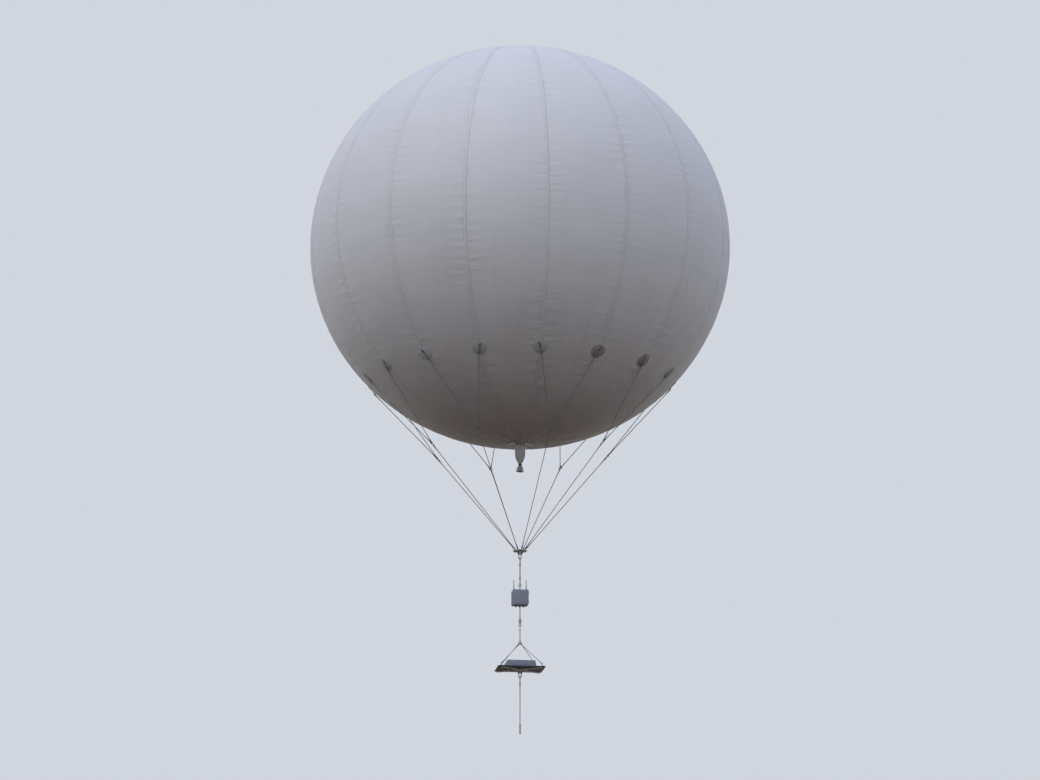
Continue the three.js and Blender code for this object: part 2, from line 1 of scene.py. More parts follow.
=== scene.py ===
"""A tethered helium balloon with its payload train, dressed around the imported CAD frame. Metres, +Z up."""
import math
import bmesh
import bpy
import numpy as np
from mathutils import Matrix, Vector


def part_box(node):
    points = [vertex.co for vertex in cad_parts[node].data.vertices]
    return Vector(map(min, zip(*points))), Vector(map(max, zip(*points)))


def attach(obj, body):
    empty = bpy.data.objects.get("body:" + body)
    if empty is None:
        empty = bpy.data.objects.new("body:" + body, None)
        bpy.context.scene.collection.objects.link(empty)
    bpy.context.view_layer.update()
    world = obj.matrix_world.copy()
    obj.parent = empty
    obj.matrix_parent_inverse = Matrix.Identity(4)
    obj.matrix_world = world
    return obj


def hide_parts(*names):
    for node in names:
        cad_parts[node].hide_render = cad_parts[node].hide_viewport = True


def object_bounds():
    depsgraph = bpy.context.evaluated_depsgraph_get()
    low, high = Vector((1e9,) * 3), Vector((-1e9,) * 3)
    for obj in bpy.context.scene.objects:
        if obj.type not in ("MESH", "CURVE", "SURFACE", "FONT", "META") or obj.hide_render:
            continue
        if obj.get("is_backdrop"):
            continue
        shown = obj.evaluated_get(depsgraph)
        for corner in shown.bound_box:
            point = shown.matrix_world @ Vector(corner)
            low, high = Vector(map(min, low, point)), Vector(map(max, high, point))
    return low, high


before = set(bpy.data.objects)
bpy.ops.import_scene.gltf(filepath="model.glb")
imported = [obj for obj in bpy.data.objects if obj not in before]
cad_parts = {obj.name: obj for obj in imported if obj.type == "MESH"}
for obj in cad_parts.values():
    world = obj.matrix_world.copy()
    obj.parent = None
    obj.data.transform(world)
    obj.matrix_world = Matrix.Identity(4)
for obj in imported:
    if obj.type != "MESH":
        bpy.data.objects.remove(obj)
cad_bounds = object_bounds()

# Camera. It stands on the floor, a little to the left of the balloon's front, and looks up
# at it from far away through a long lens.
CAMERA_AZIMUTH = math.radians(-7.5)
CAMERA_PITCH = math.radians(13)
CAMERA_DISTANCE = 114
CAMERA_ABOVE_FLOOR = 1.5
LENS_MM = 276
CLIP_END = 3000

middle = (cad_bounds[0] + cad_bounds[1]) / 2
looking = Vector((
    -math.sin(CAMERA_AZIMUTH) * math.cos(CAMERA_PITCH),
    math.cos(CAMERA_AZIMUTH) * math.cos(CAMERA_PITCH),
    math.sin(CAMERA_PITCH),
))
camera = bpy.data.objects.new("camera", bpy.data.cameras.new("camera"))
camera.location = middle - CAMERA_DISTANCE * looking
camera.rotation_euler = looking.to_track_quat("-Z", "Y").to_euler()
camera.data.lens = LENS_MM
camera.data.clip_end = CLIP_END
bpy.context.scene.collection.objects.link(camera)
bpy.context.scene.camera = camera
bpy.context.scene.view_settings.view_transform = "Standard"


# Floor. A wide pale studio floor far below the balloon, which runs into the backdrop's colour
# with distance, so that no horizon shows.
class Value:
    """A socket of a node tree. Reckoning with it adds Math nodes."""

    def __init__(self, recipe, socket):
        self.recipe, self.socket = recipe, socket

    def reckon(self, operation, *terms):
        return self.recipe.node("ShaderNodeMath", {"operation": operation}, dict(enumerate(terms)))

    def __add__(self, other):
        return self.reckon("ADD", self, other)

    def __radd__(self, other):
        return self.reckon("ADD", other, self)

    def __sub__(self, other):
        return self.reckon("SUBTRACT", self, other)

    def __rsub__(self, other):
        return self.reckon("SUBTRACT", other, self)

    def __mul__(self, other):
        return self.reckon("MULTIPLY", self, other)

    def __rmul__(self, other):
        return self.reckon("MULTIPLY", other, self)

    def __truediv__(self, other):
        return self.reckon("DIVIDE", self, other)

    def __pow__(self, other):
        return self.reckon("POWER", self, other)

    def __abs__(self):
        return self.reckon("ABSOLUTE", self)

    def sine(self):
        return self.reckon("SINE", self)

    def cosine(self):
        return self.reckon("COSINE", self)

    def fraction(self):
        return self.reckon("FRACT", self)

    def floor(self):
        return self.reckon("FLOOR", self)

    def least(self, other):
        return self.reckon("MINIMUM", self, other)

    def most(self, other):
        return self.reckon("MAXIMUM", self, other)

    def ramp(self, low, high, first=0.0, last=1.0):
        """Runs smoothly from first to last as the value goes from low to high."""
        return self.recipe.node(
            "ShaderNodeMapRange",
            {"interpolation_type": "SMOOTHSTEP"},
            {0: self, 1: low, 2: high, 3: first, 4: last},
        )

    def part(self, name):
        """Another output of the same node."""
        return Value(self.recipe, self.socket.node.outputs[name])


class Recipe:
    """A node tree, built by its nodes' types, settings and inputs."""

    def __init__(self, tree):
        self.tree = tree

    def node(self, kind, settings=None, inputs=None, output=0):
        made = self.tree.nodes.new(kind)
        for setting, value in (settings or {}).items():
            setattr(made, setting, value)
        for name, value in (inputs or {}).items():
            if isinstance(value, Value):
                self.tree.links.new(value.socket, made.inputs[name])
            else:
                made.inputs[name].default_value = value
        return Value(self, made.outputs[output])

    def axes(self, vector):
        parts = self.node("ShaderNodeSeparateXYZ", {}, {0: vector})
        return parts, parts.part("Y"), parts.part("Z")

    def vector(self, x, y, z):
        return self.node("ShaderNodeCombineXYZ", {}, {0: x, 1: y, 2: z})

    def noise(self, where, scale, detail=3.0, roughness=0.5):
        return self.node(
            "ShaderNodeTexNoise",
            {},
            {"Vector": where, "Scale": scale, "Detail": detail, "Roughness": roughness},
        )

    def mix(self, share, first, second):
        """Blends two colours."""
        made = self.node("ShaderNodeMix", {"data_type": "RGBA"}, {0: share}, 2)
        for place, colour in ((6, first), (7, second)):
            socket = made.socket.node.inputs[place]
            if isinstance(colour, Value):
                self.tree.links.new(colour.socket, socket)
            else:
                socket.default_value = (*colour, 1)
        return made


class Finish(Recipe):
    """A procedural material on Object coordinates. Sockets that stay the same are set here."""

    def __init__(self, name, **fixed):
        self.material = bpy.data.materials.new(name)
        self.material.use_nodes = True
        super().__init__(self.material.node_tree)
        self.shader = self.tree.nodes["Principled BSDF"]
        for socket, value in fixed.items():
            self.shader.inputs[socket.replace("_", " ")].default_value = value
        self.where = self.node("ShaderNodeTexCoord", {}, {}, "Object")

    def feed(self, socket, value):
        self.tree.links.new(value.socket, self.shader.inputs[socket])

    def relief(self, *layers):
        """Each layer is a height from 0 to 1 and its depth in metres."""
        normal = None
        for height, depth in layers:
            inputs = {"Height": height, "Distance": depth, "Strength": 1.0}
            if normal:
                inputs["Normal"] = normal
            normal = self.node("ShaderNodeBump", {}, inputs)
        self.feed("Normal", normal)


def place(name, mesh, *materials):
    """Makes a piece of a mesh that already has its place in the balloon's frame."""
    if materials:
        mesh.materials.clear()
        for material in materials:
            mesh.materials.append(material)
    made = bpy.data.objects.new(name, mesh)
    bpy.context.scene.collection.objects.link(made)
    return made


def whole_turn(count):
    """Even steps once round, as angles."""
    return np.linspace(0, 2 * math.pi, count, endpoint=False)


FLOOR_RADIUS = 2500
FLOOR_SIDES = 64
FLOOR_COLOUR = (0.72, 0.72, 0.72)
BACKDROP = (0.64, 0.67, 0.735)
FLOOR_FADE = (60, 320)

floor_finish = Finish("studio_floor", Roughness=0.9)
floor_x, floor_y, _ = floor_finish.axes(floor_finish.where)
fade = ((floor_x * floor_x + floor_y * floor_y) ** 0.5).ramp(*FLOOR_FADE)
mottle = floor_finish.noise(floor_finish.where, 0.08)
floor_finish.feed(
    "Base Color",
    floor_finish.mix(mottle * 0.15, FLOOR_COLOUR, [0.9 * share for share in FLOOR_COLOUR]),
)
glow = floor_finish.node("ShaderNodeEmission", {}, {"Color": (*BACKDROP, 1)})
blend = floor_finish.node("ShaderNodeMixShader", {}, {0: fade, 2: glow})
floor_finish.tree.links.new(floor_finish.shader.outputs[0], blend.socket.node.inputs[1])
floor_finish.tree.links.new(blend.socket, floor_finish.tree.nodes["Material Output"].inputs[0])

floor_mesh = bpy.data.meshes.new("floor")
floor_z = camera.location.z - CAMERA_ABOVE_FLOOR
floor_rim = [
    (FLOOR_RADIUS * math.cos(turn), FLOOR_RADIUS * math.sin(turn), floor_z)
    for turn in whole_turn(FLOOR_SIDES)
]
floor_mesh.from_pydata(floor_rim, [], [range(FLOOR_SIDES)])
floor = place("floor", floor_mesh, floor_finish.material)
floor.visible_diffuse = False
floor.visible_glossy = False
floor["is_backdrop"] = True

# Light. A bright even dome above, with a wide soft sun at the upper left, and little light from
# below. The camera itself sees a plain pale backdrop.
SKY = (0.655, 0.71, 0.91)
LOW_SKY = (0.46, 0.50, 0.62)
LOW_GROUND = (0.535, 0.5, 0.425)
GROUND = (0.02, 0.006, 0.008)
SUN_STRENGTH = 0.62
SUN_COLOUR = (1.0, 0.965, 0.91)
SUN_SOFTNESS = math.radians(50)
SUN_FROM = Vector((-0.6, -0.28, 0.75))

world = bpy.data.worlds.new("studio")
world.use_nodes = True
bpy.context.scene.world = world
light = Recipe(world.node_tree)
_, _, upward = light.axes(light.node("ShaderNodeTexCoord", {}, {}, "Generated"))
sky = light.mix(upward.ramp(0.1, 0.9), LOW_SKY, SKY)
ground = light.mix(upward.ramp(-0.62, -0.03), GROUND, LOW_GROUND)
around = light.mix(upward.ramp(-0.1, 0.12), ground, sky)
seen = light.node("ShaderNodeLightPath", {}, {}, "Is Camera Ray")
background = world.node_tree.nodes["Background"]
world.node_tree.links.new(light.mix(seen, around, BACKDROP).socket, background.inputs["Color"])

sun = bpy.data.objects.new("sun", bpy.data.lights.new("sun", "SUN"))
sun.data.energy = SUN_STRENGTH
sun.data.angle = SUN_SOFTNESS
sun.data.color = SUN_COLOUR
sun.rotation_euler = (-SUN_FROM).to_track_quat("-Z", "Y").to_euler()
bpy.context.scene.collection.objects.link(sun)

# Envelope. Sixteen gores of coated fabric are welded edge to edge into a slightly flattened ball,
# with a round neck at the bottom. Gas presses each gore out between its seams, and the seams
# pull short ripples into the fabric on both sides.
GORES = 16
RADIUS = 3.0
HALF_HEIGHT = 2.895
NECK_RADIUS = 0.15
WALL = 0.010
BULGE = 0.014
BULGE_SHARPNESS = 1.5
SEAM_CROWDING = 0.6
SKIN_GRID = {"columns": 16, "rows": 288, "inner rows": 44}
RIPPLE = {"depth": 0.0026, "spacing": 0.135, "crest": 0.075}
GORE_TURN = 2 * math.pi / GORES
NECK_LATITUDE = -math.acos(NECK_RADIUS / RADIUS)


class Growth(Recipe):
    """A Geometry Nodes tree with named inputs. It runs once and leaves a plain mesh."""

    KINDS = {
        int: "NodeSocketInt",
        float: "NodeSocketFloat",
        bpy.types.Object: "NodeSocketObject",
        bpy.types.Material: "NodeSocketMaterial",
    }

    def __init__(self, name, sizes):
        super().__init__(bpy.data.node_groups.new(name, "GeometryNodeTree"))
        face = self.tree.interface
        face.new_socket("Mesh", in_out="OUTPUT", socket_type="NodeSocketGeometry")
        face.new_socket("Start", in_out="INPUT", socket_type="NodeSocketGeometry")
        for size, value in sizes.items():
            face.new_socket(size, in_out="INPUT", socket_type=self.KINDS[type(value)])
        self.sizes = sizes
        self.given = self.tree.nodes.new("NodeGroupInput")

    def __getitem__(self, size):
        return Value(self, self.given.outputs[size])

    def grid(self, columns, rows):
        """A flat grid with sides of 1. Across and along run over it from -0.5 to 0.5."""
        size = {"Size X": 1.0, "Size Y": 1.0, "Vertices X": columns + 1, "Vertices Y": rows + 1}
        across, along, _ = self.axes(self.node("GeometryNodeInputPosition"))
        return self.node("GeometryNodeMeshGrid", {}, size), across, along

    def move(self, geometry, position=None, offset=None):
        inputs = {"Geometry": geometry}
        if position:
            inputs["Position"] = position
        if offset:
            inputs["Offset"] = offset
        return self.node("GeometryNodeSetPosition", {}, inputs)

    def around(self, item, count, first_turn=0.0):
        """Copies of an item about the balloon's upright axis."""
        turn = self.node("GeometryNodeInputIndex") * (2 * math.pi / count) + first_turn
        points = self.node("GeometryNodePoints", {}, {"Count": count})
        copies = {"Points": points, "Instance": item, "Rotation": self.vector(0.0, 0.0, turn)}
        return self.node("GeometryNodeInstanceOnPoints", {}, copies)

    def grow(self, geometry, start=None, weld=0.0):
        """Realizes the copies, welds points that meet, sets the material and runs the tree."""
        made = self.node("GeometryNodeRealizeInstances", {}, {0: geometry})
        if weld:
            made = self.node("GeometryNodeMergeByDistance", {}, {0: made, "Distance": weld})
        made = self.node("GeometryNodeSetShadeSmooth", {}, {0: made})
        made = self.node("GeometryNodeSetMaterial", {}, {0: made, "Material": self["finish"]})
        self.tree.links.new(made.socket, self.tree.nodes.new("NodeGroupOutput").inputs[0])
        holder = bpy.data.objects.new("holder", start or bpy.data.meshes.new("holder"))
        bpy.context.scene.collection.objects.link(holder)
        modifier = holder.modifiers.new("growth", "NODES")
        modifier.node_group = self.tree
        for item in self.tree.interface.items_tree:
            if item.name in self.sizes:
                modifier[item.identifier] = self.sizes[item.name]
        evaluated = holder.evaluated_get(bpy.context.evaluated_depsgraph_get())
        mesh = bpy.data.meshes.new_from_object(evaluated)
        holder.modifiers.clear()
        bpy.data.objects.remove(holder)
        return mesh


def skin_point(recipe, turn, latitude, lift):
    """A point of the envelope's outside, with its turn counted from a gore's middle."""
    level = latitude.cosine()
    from_seam = abs((turn * (GORES / 2)).cosine())
    swell = recipe["bulge"] * level * level * from_seam ** BULGE_SHARPNESS
    out = (lift + recipe["radius"]) * level + swell
    up = (lift + recipe["half height"]) * latitude.sine()
    return recipe.vector(out * turn.sine(), 0.0 - out * turn.cosine(), up)


def gores_passed(x, y):
    """How many gores a point lies round the balloon from the seam that faces the front."""
    return x.reckon("ARCTAN2", x, 0.0 - y) / GORE_TURN


def gore_places(recipe):
    """Where a point lies: metres up the seam and to the nearest seam, how many gores round it is,
    how far from the upright axis, and how high."""
    x, y, z = recipe.axes(recipe.where)
    from_axis = (x * x + y * y) ** 0.5
    gores_round = gores_passed(x, y)
    share = gores_round.fraction()
    to_seam = share.least(1.0 - share) * from_axis * GORE_TURN
    level = z / HALF_HEIGHT
    up_seam = level.reckon("ARCSINE", level) * HALF_HEIGHT
    return up_seam, to_seam, gores_round, from_axis, z


fabric = Finish("balloon_fabric", Specular_IOR_Level=0.4, Sheen_Weight=0.08, Sheen_Roughness=0.4)
up_seam, to_seam, gores_round, from_axis, height = gore_places(fabric)
gore_number = gores_round.floor()
gore_tone = fabric.node(
    "ShaderNodeTexWhiteNoise", {"noise_dimensions": "1D"}, {"W": gore_number + 0.5}
)
along_gore = fabric.vector(gores_round * 5.0, up_seam * 0.16, 3.0)
streaks = fabric.noise(along_gore, 2.2, 5.0, 0.62)
clouds = fabric.noise(fabric.where, 0.7, 4.0)
grime = fabric.noise(fabric.where, 5.0, 6.0, 0.65)
lower = height.ramp(-2.8, 0.6, 1.0, 0.0)
soil = (streaks.ramp(0.42, 0.8) * 0.55 + clouds.ramp(0.4, 0.8) * 0.45) * (0.35 + 0.65 * lower)
seam_grime = to_seam.ramp(0.03, 0.11, 1.0, 0.0) * grime.ramp(0.4, 0.75)
tone = fabric.mix(gore_tone, (0.755, 0.762, 0.77), (0.79, 0.792, 0.795))
tone = fabric.mix(soil * 0.42, tone, (0.5, 0.49, 0.465))
tone = fabric.mix(seam_grime * 0.22, tone, (0.47, 0.465, 0.45))
near_neck = from_axis.ramp(0.15, 0.85, 1.0, 0.0) * height.ramp(-2.0, -2.6, 0.0, 1.0)
tone = fabric.mix(near_neck * grime.ramp(0.3, 0.8) * 0.5, tone, (0.42, 0.41, 0.39))
fabric.feed("Base Color", tone)
fabric.feed("Roughness", grime.ramp(0.3, 0.75, 0.42, 0.56) + soil * 0.1)

wander = fabric.noise(fabric.where, 1.6, 2.0)
fine_ripple = (up_seam * 78.0 + wander * 14.0 + gore_number * 2.3).sine() * 0.5 + 0.5
ripple_reach = to_seam.ramp(0.02, 0.05) * to_seam.ramp(0.08, 0.26, 1.0, 0.0)
sag = fabric.noise(fabric.where, 1.1, 2.0)
creases = fabric.node(
    "ShaderNodeTexVoronoi",
    {"feature": "DISTANCE_TO_EDGE"},
    {"Vector": fabric.vector(gores_round * 1.1, up_seam * 0.9, wander * 0.8), "Scale": 2.1},
)
weave = (up_seam * 3100.0).sine() * (to_seam * 3100.0).sine()
ripstop = (up_seam * 500.0).cosine().most((to_seam * 500.0).cosine()).ramp(0.93, 1.0)
fabric.relief(
    (sag, 0.022),
    (fine_ripple * ripple_reach * clouds.ramp(0.3, 0.6, 0.3, 1.0), 0.0012),
    (creases.ramp(0.0, 0.03, 1.0, 0.0) * grime.ramp(0.35, 0.6) * clouds.ramp(0.45, 0.6), -0.0004),
    (weave * 0.5 + ripstop, 0.00003),
)

ball = {"radius": RADIUS, "half height": HALF_HEIGHT, "bulge": BULGE}
growth = Growth("balloon_envelope", {
    **ball, **SKIN_GRID, "wall": WALL, "ripple depth": RIPPLE["depth"], "finish": fabric.material
})


def gore(recipe, rows, inset_rows):
    """A grid bent to one gore. An inset grid starts on the neck's outer edge and lies a wall inside."""
    grid, across, along = recipe.grid(recipe["columns"], rows)
    turn = (across + (across * 2 * math.pi).sine() * (SEAM_CROWDING / (2 * math.pi))) * GORE_TURN
    row = (along + 0.5) * rows
    rise = (row - inset_rows).most(0.0) / (rows - inset_rows)
    latitude = rise * (math.pi / 2 - NECK_LATITUDE) + NECK_LATITUDE
    lift = 0.0 - row.least(float(inset_rows)) * recipe["wall"]
    return recipe.move(grid, position=skin_point(recipe, turn, latitude, lift))


outside = growth.around(gore(growth, growth["rows"], 0), GORES, GORE_TURN / 2)
outside = growth.node("GeometryNodeRealizeInstances", {}, {0: outside})
here = growth.node("GeometryNodeInputPosition")
x, y, z = growth.axes(here)
from_axis = (x * x + y * y) ** 0.5
gores_round = gores_passed(x, y)
from_seam = abs((gores_round + 0.5).fraction() - 0.5) * from_axis * GORE_TURN
side = (gores_round * 2.0).floor()
stray = growth.noise(here, 0.9, 2.0)
gusts = growth.noise(here, 0.75, 2.0)
wave = (z * (2 * math.pi / RIPPLE["spacing"]) + stray * 22.0 + side * 2.1).sine()
reach = from_seam / RIPPLE["crest"]
strength = reach * reach.reckon("EXPONENT", 1.0 - reach)
calm = from_axis.ramp(0.35, 1.3) * gusts.ramp(0.34, 0.66, 0.2, 1.0)
ripple = wave * strength * calm * growth["ripple depth"]
facing = growth.node("GeometryNodeInputNormal")
push = growth.node("ShaderNodeVectorMath", {"operation": "SCALE"}, {0: facing, "Scale": ripple})
outside = growth.move(outside, offset=push)
inside = growth.node("GeometryNodeFlipFaces", {}, {0: gore(growth, growth["inner rows"], 1)})
inside = growth.around(inside, GORES, GORE_TURN / 2)
both = growth.node("GeometryNodeJoinGeometry")
for skin in (inside, outside):
    growth.tree.links.new(skin.socket, both.socket.node.inputs[0])


def settle(piece, body, nodes=()):
    """Lets a piece ride on its body, and lets it stand for its CAD nodes."""
    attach(piece, body)
    if nodes:
        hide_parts(*nodes)


envelope = place("envelope_skin", growth.grow(both, weld=0.0002))
settle(envelope, "balloon", ["envelope"])

# Seam tapes. A strip of the same fabric, 50 mm wide, is welded over every seam from the neck to
# the crown. It is a little shinier than the gores, and its middle stands proud.
TAPE = {"half width": 0.025, "thickness": 0.0016, "columns": 10, "rows": 150}
TAPE_ENDS_SHORT = 0.06

tape_fabric = Finish("seam_tape", Specular_IOR_Level=0.45, Sheen_Weight=0.05)
up_seam, to_seam, *_ = gore_places(tape_fabric)
press_marks = (up_seam * (2 * math.pi / 0.012)).sine() * 0.5 + 0.5
tape_grime = tape_fabric.noise(tape_fabric.where, 7.0, 6.0, 0.65)
tape_edge = to_seam.ramp(0.018, 0.0245)
tone = tape_fabric.mix(tape_grime.ramp(0.35, 0.8) * 0.5, (0.75, 0.757, 0.765), (0.65, 0.65, 0.64))
tape_fabric.feed("Base Color", tape_fabric.mix(tape_edge * 0.35, tone, (0.56, 0.55, 0.535)))
tape_fabric.feed("Roughness", tape_grime.ramp(0.3, 0.8, 0.33, 0.5))
tape_fabric.relief(
    (press_marks * to_seam.ramp(0.012, 0.016), 0.0002),
    (tape_fabric.noise(tape_fabric.where, 24.0, 3.0), 0.0012),
)

growth = Growth("seam_tapes", {**ball, **TAPE, "finish": tape_fabric.material})
grid, across, along = growth.grid(growth["columns"], growth["rows"])
along = along + 0.5
ends = (along * growth["rows"]).least((1.0 - along) * growth["rows"]).least(1.0)
section = across * (-2 * math.pi)
aside = (section.cosine() * 1.5).most(-1.0).least(1.0) * growth["half width"] * ends
lift = (section.sine() * 1.6).most(-0.4).least(1.0) * growth["thickness"] * ends
latitude = along * (math.pi / 2 - TAPE_ENDS_SHORT - NECK_LATITUDE) + NECK_LATITUDE
turn = aside / (latitude.cosine() * RADIUS) + GORE_TURN / 2
strip = growth.move(grid, position=skin_point(growth, turn, latitude, lift))
tapes = place("seam_tapes", growth.grow(growth.around(strip, GORES, GORE_TURN / 2), weld=0.00005))
settle(tapes, "balloon")


# Crown patch. Two round layers of woven reinforcement are welded over the tips of the gores. The
# same cloth makes the patches on the seams, of which two neighbours are newer and dark red-brown.
class Mould:
    """Gathers closed shapes, each a skin between rings of points, and makes one mesh of them."""

    def __init__(self):
        self.points, self.faces, self.lays = [], [], []

    def skin(self, rings, looped=False, lay=None):
        """Faces between rings with as many points each. Open ends are capped. A lay is each ring's
        place along a rope, for the rope's pattern."""
        rings = np.asarray(rings, float)
        count, around = rings.shape[:2]
        row, column = np.mgrid[: count if looped else count - 1, :around]
        rows = np.stack((row, row, row + 1, row + 1), -1).reshape(-1, 4)
        columns = np.stack((column, column + 1, column + 1, column), -1).reshape(-1, 4)
        quads = rows % count * around + columns % around
        end = np.arange(around)
        caps = [] if looped else [end[::-1], end + (count - 1) * around]
        points = rings.reshape(-1, 3)
        middle = points.mean(0)
        first, second, third, fourth = (points[quads[:, corner]] - middle for corner in range(4))
        volume = (np.cross(first, second) * third).sum() + (np.cross(first, third) * fourth).sum()
        for cap in caps:
            spread = points[cap] - middle
            volume += (np.cross(spread[1:-1], spread[2:]) * spread[0]).sum()
        turn = slice(None, None, 1 if volume > 0 else -1)
        base = sum(len(block) for block in self.points)
        self.faces += [(face[turn] + base).tolist() for face in (*quads, *caps)]
        self.points.append(points)
        if lay is not None:
            lay = np.append(lay, 2 * lay[-1] - lay[-2])
            spots = np.stack((columns / around, lay[rows]), -1)[:, turn]
            ends = [np.stack((cap / around, 0 * cap), -1) for cap in caps]
            self.lays += [spot for face in (*spots, *ends) for spot in face]

    def turned(self, profile, foot=(0, 0, 0), axis=(0, 0, 1), sides=48, looped=False):
        """A turned shape from pairs of radius and height, standing on its foot along its axis."""
        rings = [circle(radius, sides, level) for radius, level in profile]
        self.skin(stood(rings, foot, axis), looped)

    def pin(self, radius, low, high, foot, axis, sides):
        """A plain pin from a low to a high level on its axis, counted from its foot."""
        self.turned([(0, low), (radius, low), (radius, high), (0, high)], foot, axis, sides)

    def swept(self, path, outline, side, looped=False, size=1.0, lay=None):
        """A bar with a flat outline along a path."""
        self.skin(carried(path, outline, side, looped, size), looped, lay)

    def fit(self, name, body, slot, finish, nodes=(), sharp=40):
        """Makes the piece and settles it on its body."""
        settle(place(name, self.mesh(name, sharp), finish.material), body, nodes)

    def mesh(self, name, sharp=40):
        """Welds what meets in a pole, and shades smooth up to the given angle between faces."""
        made = bpy.data.meshes.new(name)
        made.from_pydata(np.concatenate(self.points).tolist(), [], self.faces)
        if self.lays:
            made.uv_layers.new(name="lay").data.foreach_set("uv", np.ravel(self.lays))
        work = bmesh.new()
        work.from_mesh(made)
        bmesh.ops.remove_doubles(work, verts=work.verts, dist=1e-6)
        work.to_mesh(made)
        work.free()
        made.polygons.foreach_set("use_smooth", [True] * len(made.polygons))
        made.set_sharp_from_angle(angle=math.radians(sharp))
        return made


def unit(vector):
    vector = np.asarray(vector, float)
    return vector / np.linalg.norm(vector)


def circle(radius, sides, level=0.0):
    turns = whole_turn(sides)
    return np.column_stack((radius * np.cos(turns), radius * np.sin(turns), np.full(sides, level)))


def stood(rings, foot, axis):
    """Turns shapes made along +Z to another axis, their Y kept upright, and sets them on their foot."""
    ahead = unit(axis)
    right = unit(np.cross((0, 1, 0) if abs(ahead[2]) > 0.99 else (0, 0, 1), ahead))
    return np.asarray(rings) @ np.array((right, np.cross(ahead, right), ahead)) + np.asarray(foot)


def carried(path, outline, side, looped=False, size=1.0):
    """Rings of a flat outline, one at each point of a path. The outline's first axis keeps as near
    to the side as it can."""
    path, outline = np.asarray(path, float), np.asarray(outline, float)[:, :2]
    ahead = np.roll(path, -1, 0) - np.roll(path, 1, 0) if looped else np.gradient(path, axis=0)
    ahead /= np.linalg.norm(ahead, axis=1, keepdims=True)
    rings, sizes = [], size if np.ndim(size) else np.full(len(path), size)
    for point, forward, scale in zip(path, ahead, sizes):
        side = unit(side - forward * np.dot(side, forward))
        flat = outline * np.reshape(scale, (-1, 1))
        rings.append(point + flat[:, :1] * side + flat[:, 1:] * np.cross(forward, side))
    return np.array(rings)


def skin_at(turn, latitude, lift=0.0):
    """The envelope's outside as numbers, with turns counted from the seam that faces the front."""
    level = np.cos(latitude)
    swell = BULGE * level**2 * np.abs(np.sin(turn * GORES / 2)) ** BULGE_SHARPNESS
    out, up = (RADIUS + lift) * level + swell, (HALF_HEIGHT + lift) * np.sin(latitude)
    return np.stack((out * np.sin(turn), -out * np.cos(turn), up), -1)


CROWN_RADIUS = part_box("crown_patch")[1].x
CROWN_STEP = 0.177
CROWN_LAYERS = [
    (0.0, 0.0056), (0.03, 0.0056), (0.09, 0.0055), (0.16, 0.0052), (CROWN_STEP - 0.0015, 0.0051),
    (CROWN_STEP, 0.0036), (0.2, 0.0034), (0.25, 0.0033), (CROWN_RADIUS - 0.002, 0.0032),
    (CROWN_RADIUS, 0.002), (CROWN_RADIUS, -0.0005), (0.14, -0.0005), (0.0, -0.0005),
]
MIDDLE_OF_DARK_PAIR = 1.5

patch_fabric = Finish("reinforcement_fabric", Specular_IOR_Level=0.35)
px, py, pz = patch_fabric.axes(patch_fabric.where)
patch_dirt = patch_fabric.noise(patch_fabric.where, 9.0, 6.0, 0.65)
seams_passed = gores_passed(px, py)
seam_number = seams_passed.reckon("ROUND", seams_passed)
patch_age = patch_fabric.node(
    "ShaderNodeTexWhiteNoise", {"noise_dimensions": "1D"}, {"W": seam_number + 3.0}
)
from_axis = (px * px + py * py) ** 0.5
replaced = abs(seam_number - MIDDLE_OF_DARK_PAIR).ramp(0.9, 1.1, 1.0, 0.0)
replaced = replaced * from_axis.ramp(1.0, 1.5)
tone = patch_fabric.mix(patch_age * 0.7, (0.66, 0.665, 0.675), (0.55, 0.555, 0.565))
tone = patch_fabric.mix(replaced, tone, (0.44, 0.375, 0.37))
above = pz.ramp(0.0, 1.0)
tone = patch_fabric.mix(above, tone, (0.66, 0.665, 0.675))
tone = patch_fabric.mix(patch_dirt.ramp(0.4, 0.8) * 0.4, tone, (0.4, 0.385, 0.365))
# A dark ring where the inner layer ends is painted shade along its step, all round the crown.
painted_step_shade = abs(from_axis - CROWN_STEP).ramp(0.001, 0.006, 1.0, 0.0) * above
tone = patch_fabric.mix(painted_step_shade * 0.4, tone, (0.4, 0.395, 0.385))
patch_fabric.feed("Base Color", tone)
patch_fabric.feed("Roughness", patch_dirt.ramp(0.3, 0.8, 0.55, 0.75))
yarns = ((px + py) * 1500.0).sine() * ((px - py + pz * 1.4) * 1500.0).sine()
patch_fabric.relief(
    (patch_fabric.noise(patch_fabric.where, 14.0, 3.0), 0.0022),
    (yarns * 0.5 + 0.5, 0.00012),
)

mould = Mould()
turns = whole_turn(128)
hand_cut = 0.0012 * np.sin(turns * 7 + 1) + 0.0008 * np.sin(turns * 19)
mould.skin([
    skin_at(turns, np.arccos(np.clip((radius + hand_cut * (radius > 0.17)) / RADIUS, 0, 1)), lift)
    for radius, lift in CROWN_LAYERS
])
mould.fit("crown_reinforcement", "balloon", "patch_fabric", patch_fabric, ["crown_patch"])

# Neck. A machined plate closes it, clamped to the envelope by twelve bolts. A fabric sleeve for
# filling hangs from a spigot in its middle, tied off with cord, beside a spring-loaded relief valve.
FLANGE_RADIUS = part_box("neck_flange")[1].x
FLANGE_LOW, FLANGE_HIGH = (corner.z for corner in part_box("neck_flange"))
FLANGE_LIP = FLANGE_LOW + 0.012
BOLT = {"head": 0.0062, "height": 0.0045, "washer": 0.0085}
BOLTS = {"radius": 0.169, "count": 12}
SLEEVE_LOW, SLEEVE_HIGH = (corner.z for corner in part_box("neck_sleeve"))
SLEEVE_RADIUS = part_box("neck_sleeve")[1].x
VALVE_LOW, VALVE_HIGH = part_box("relief_valve")

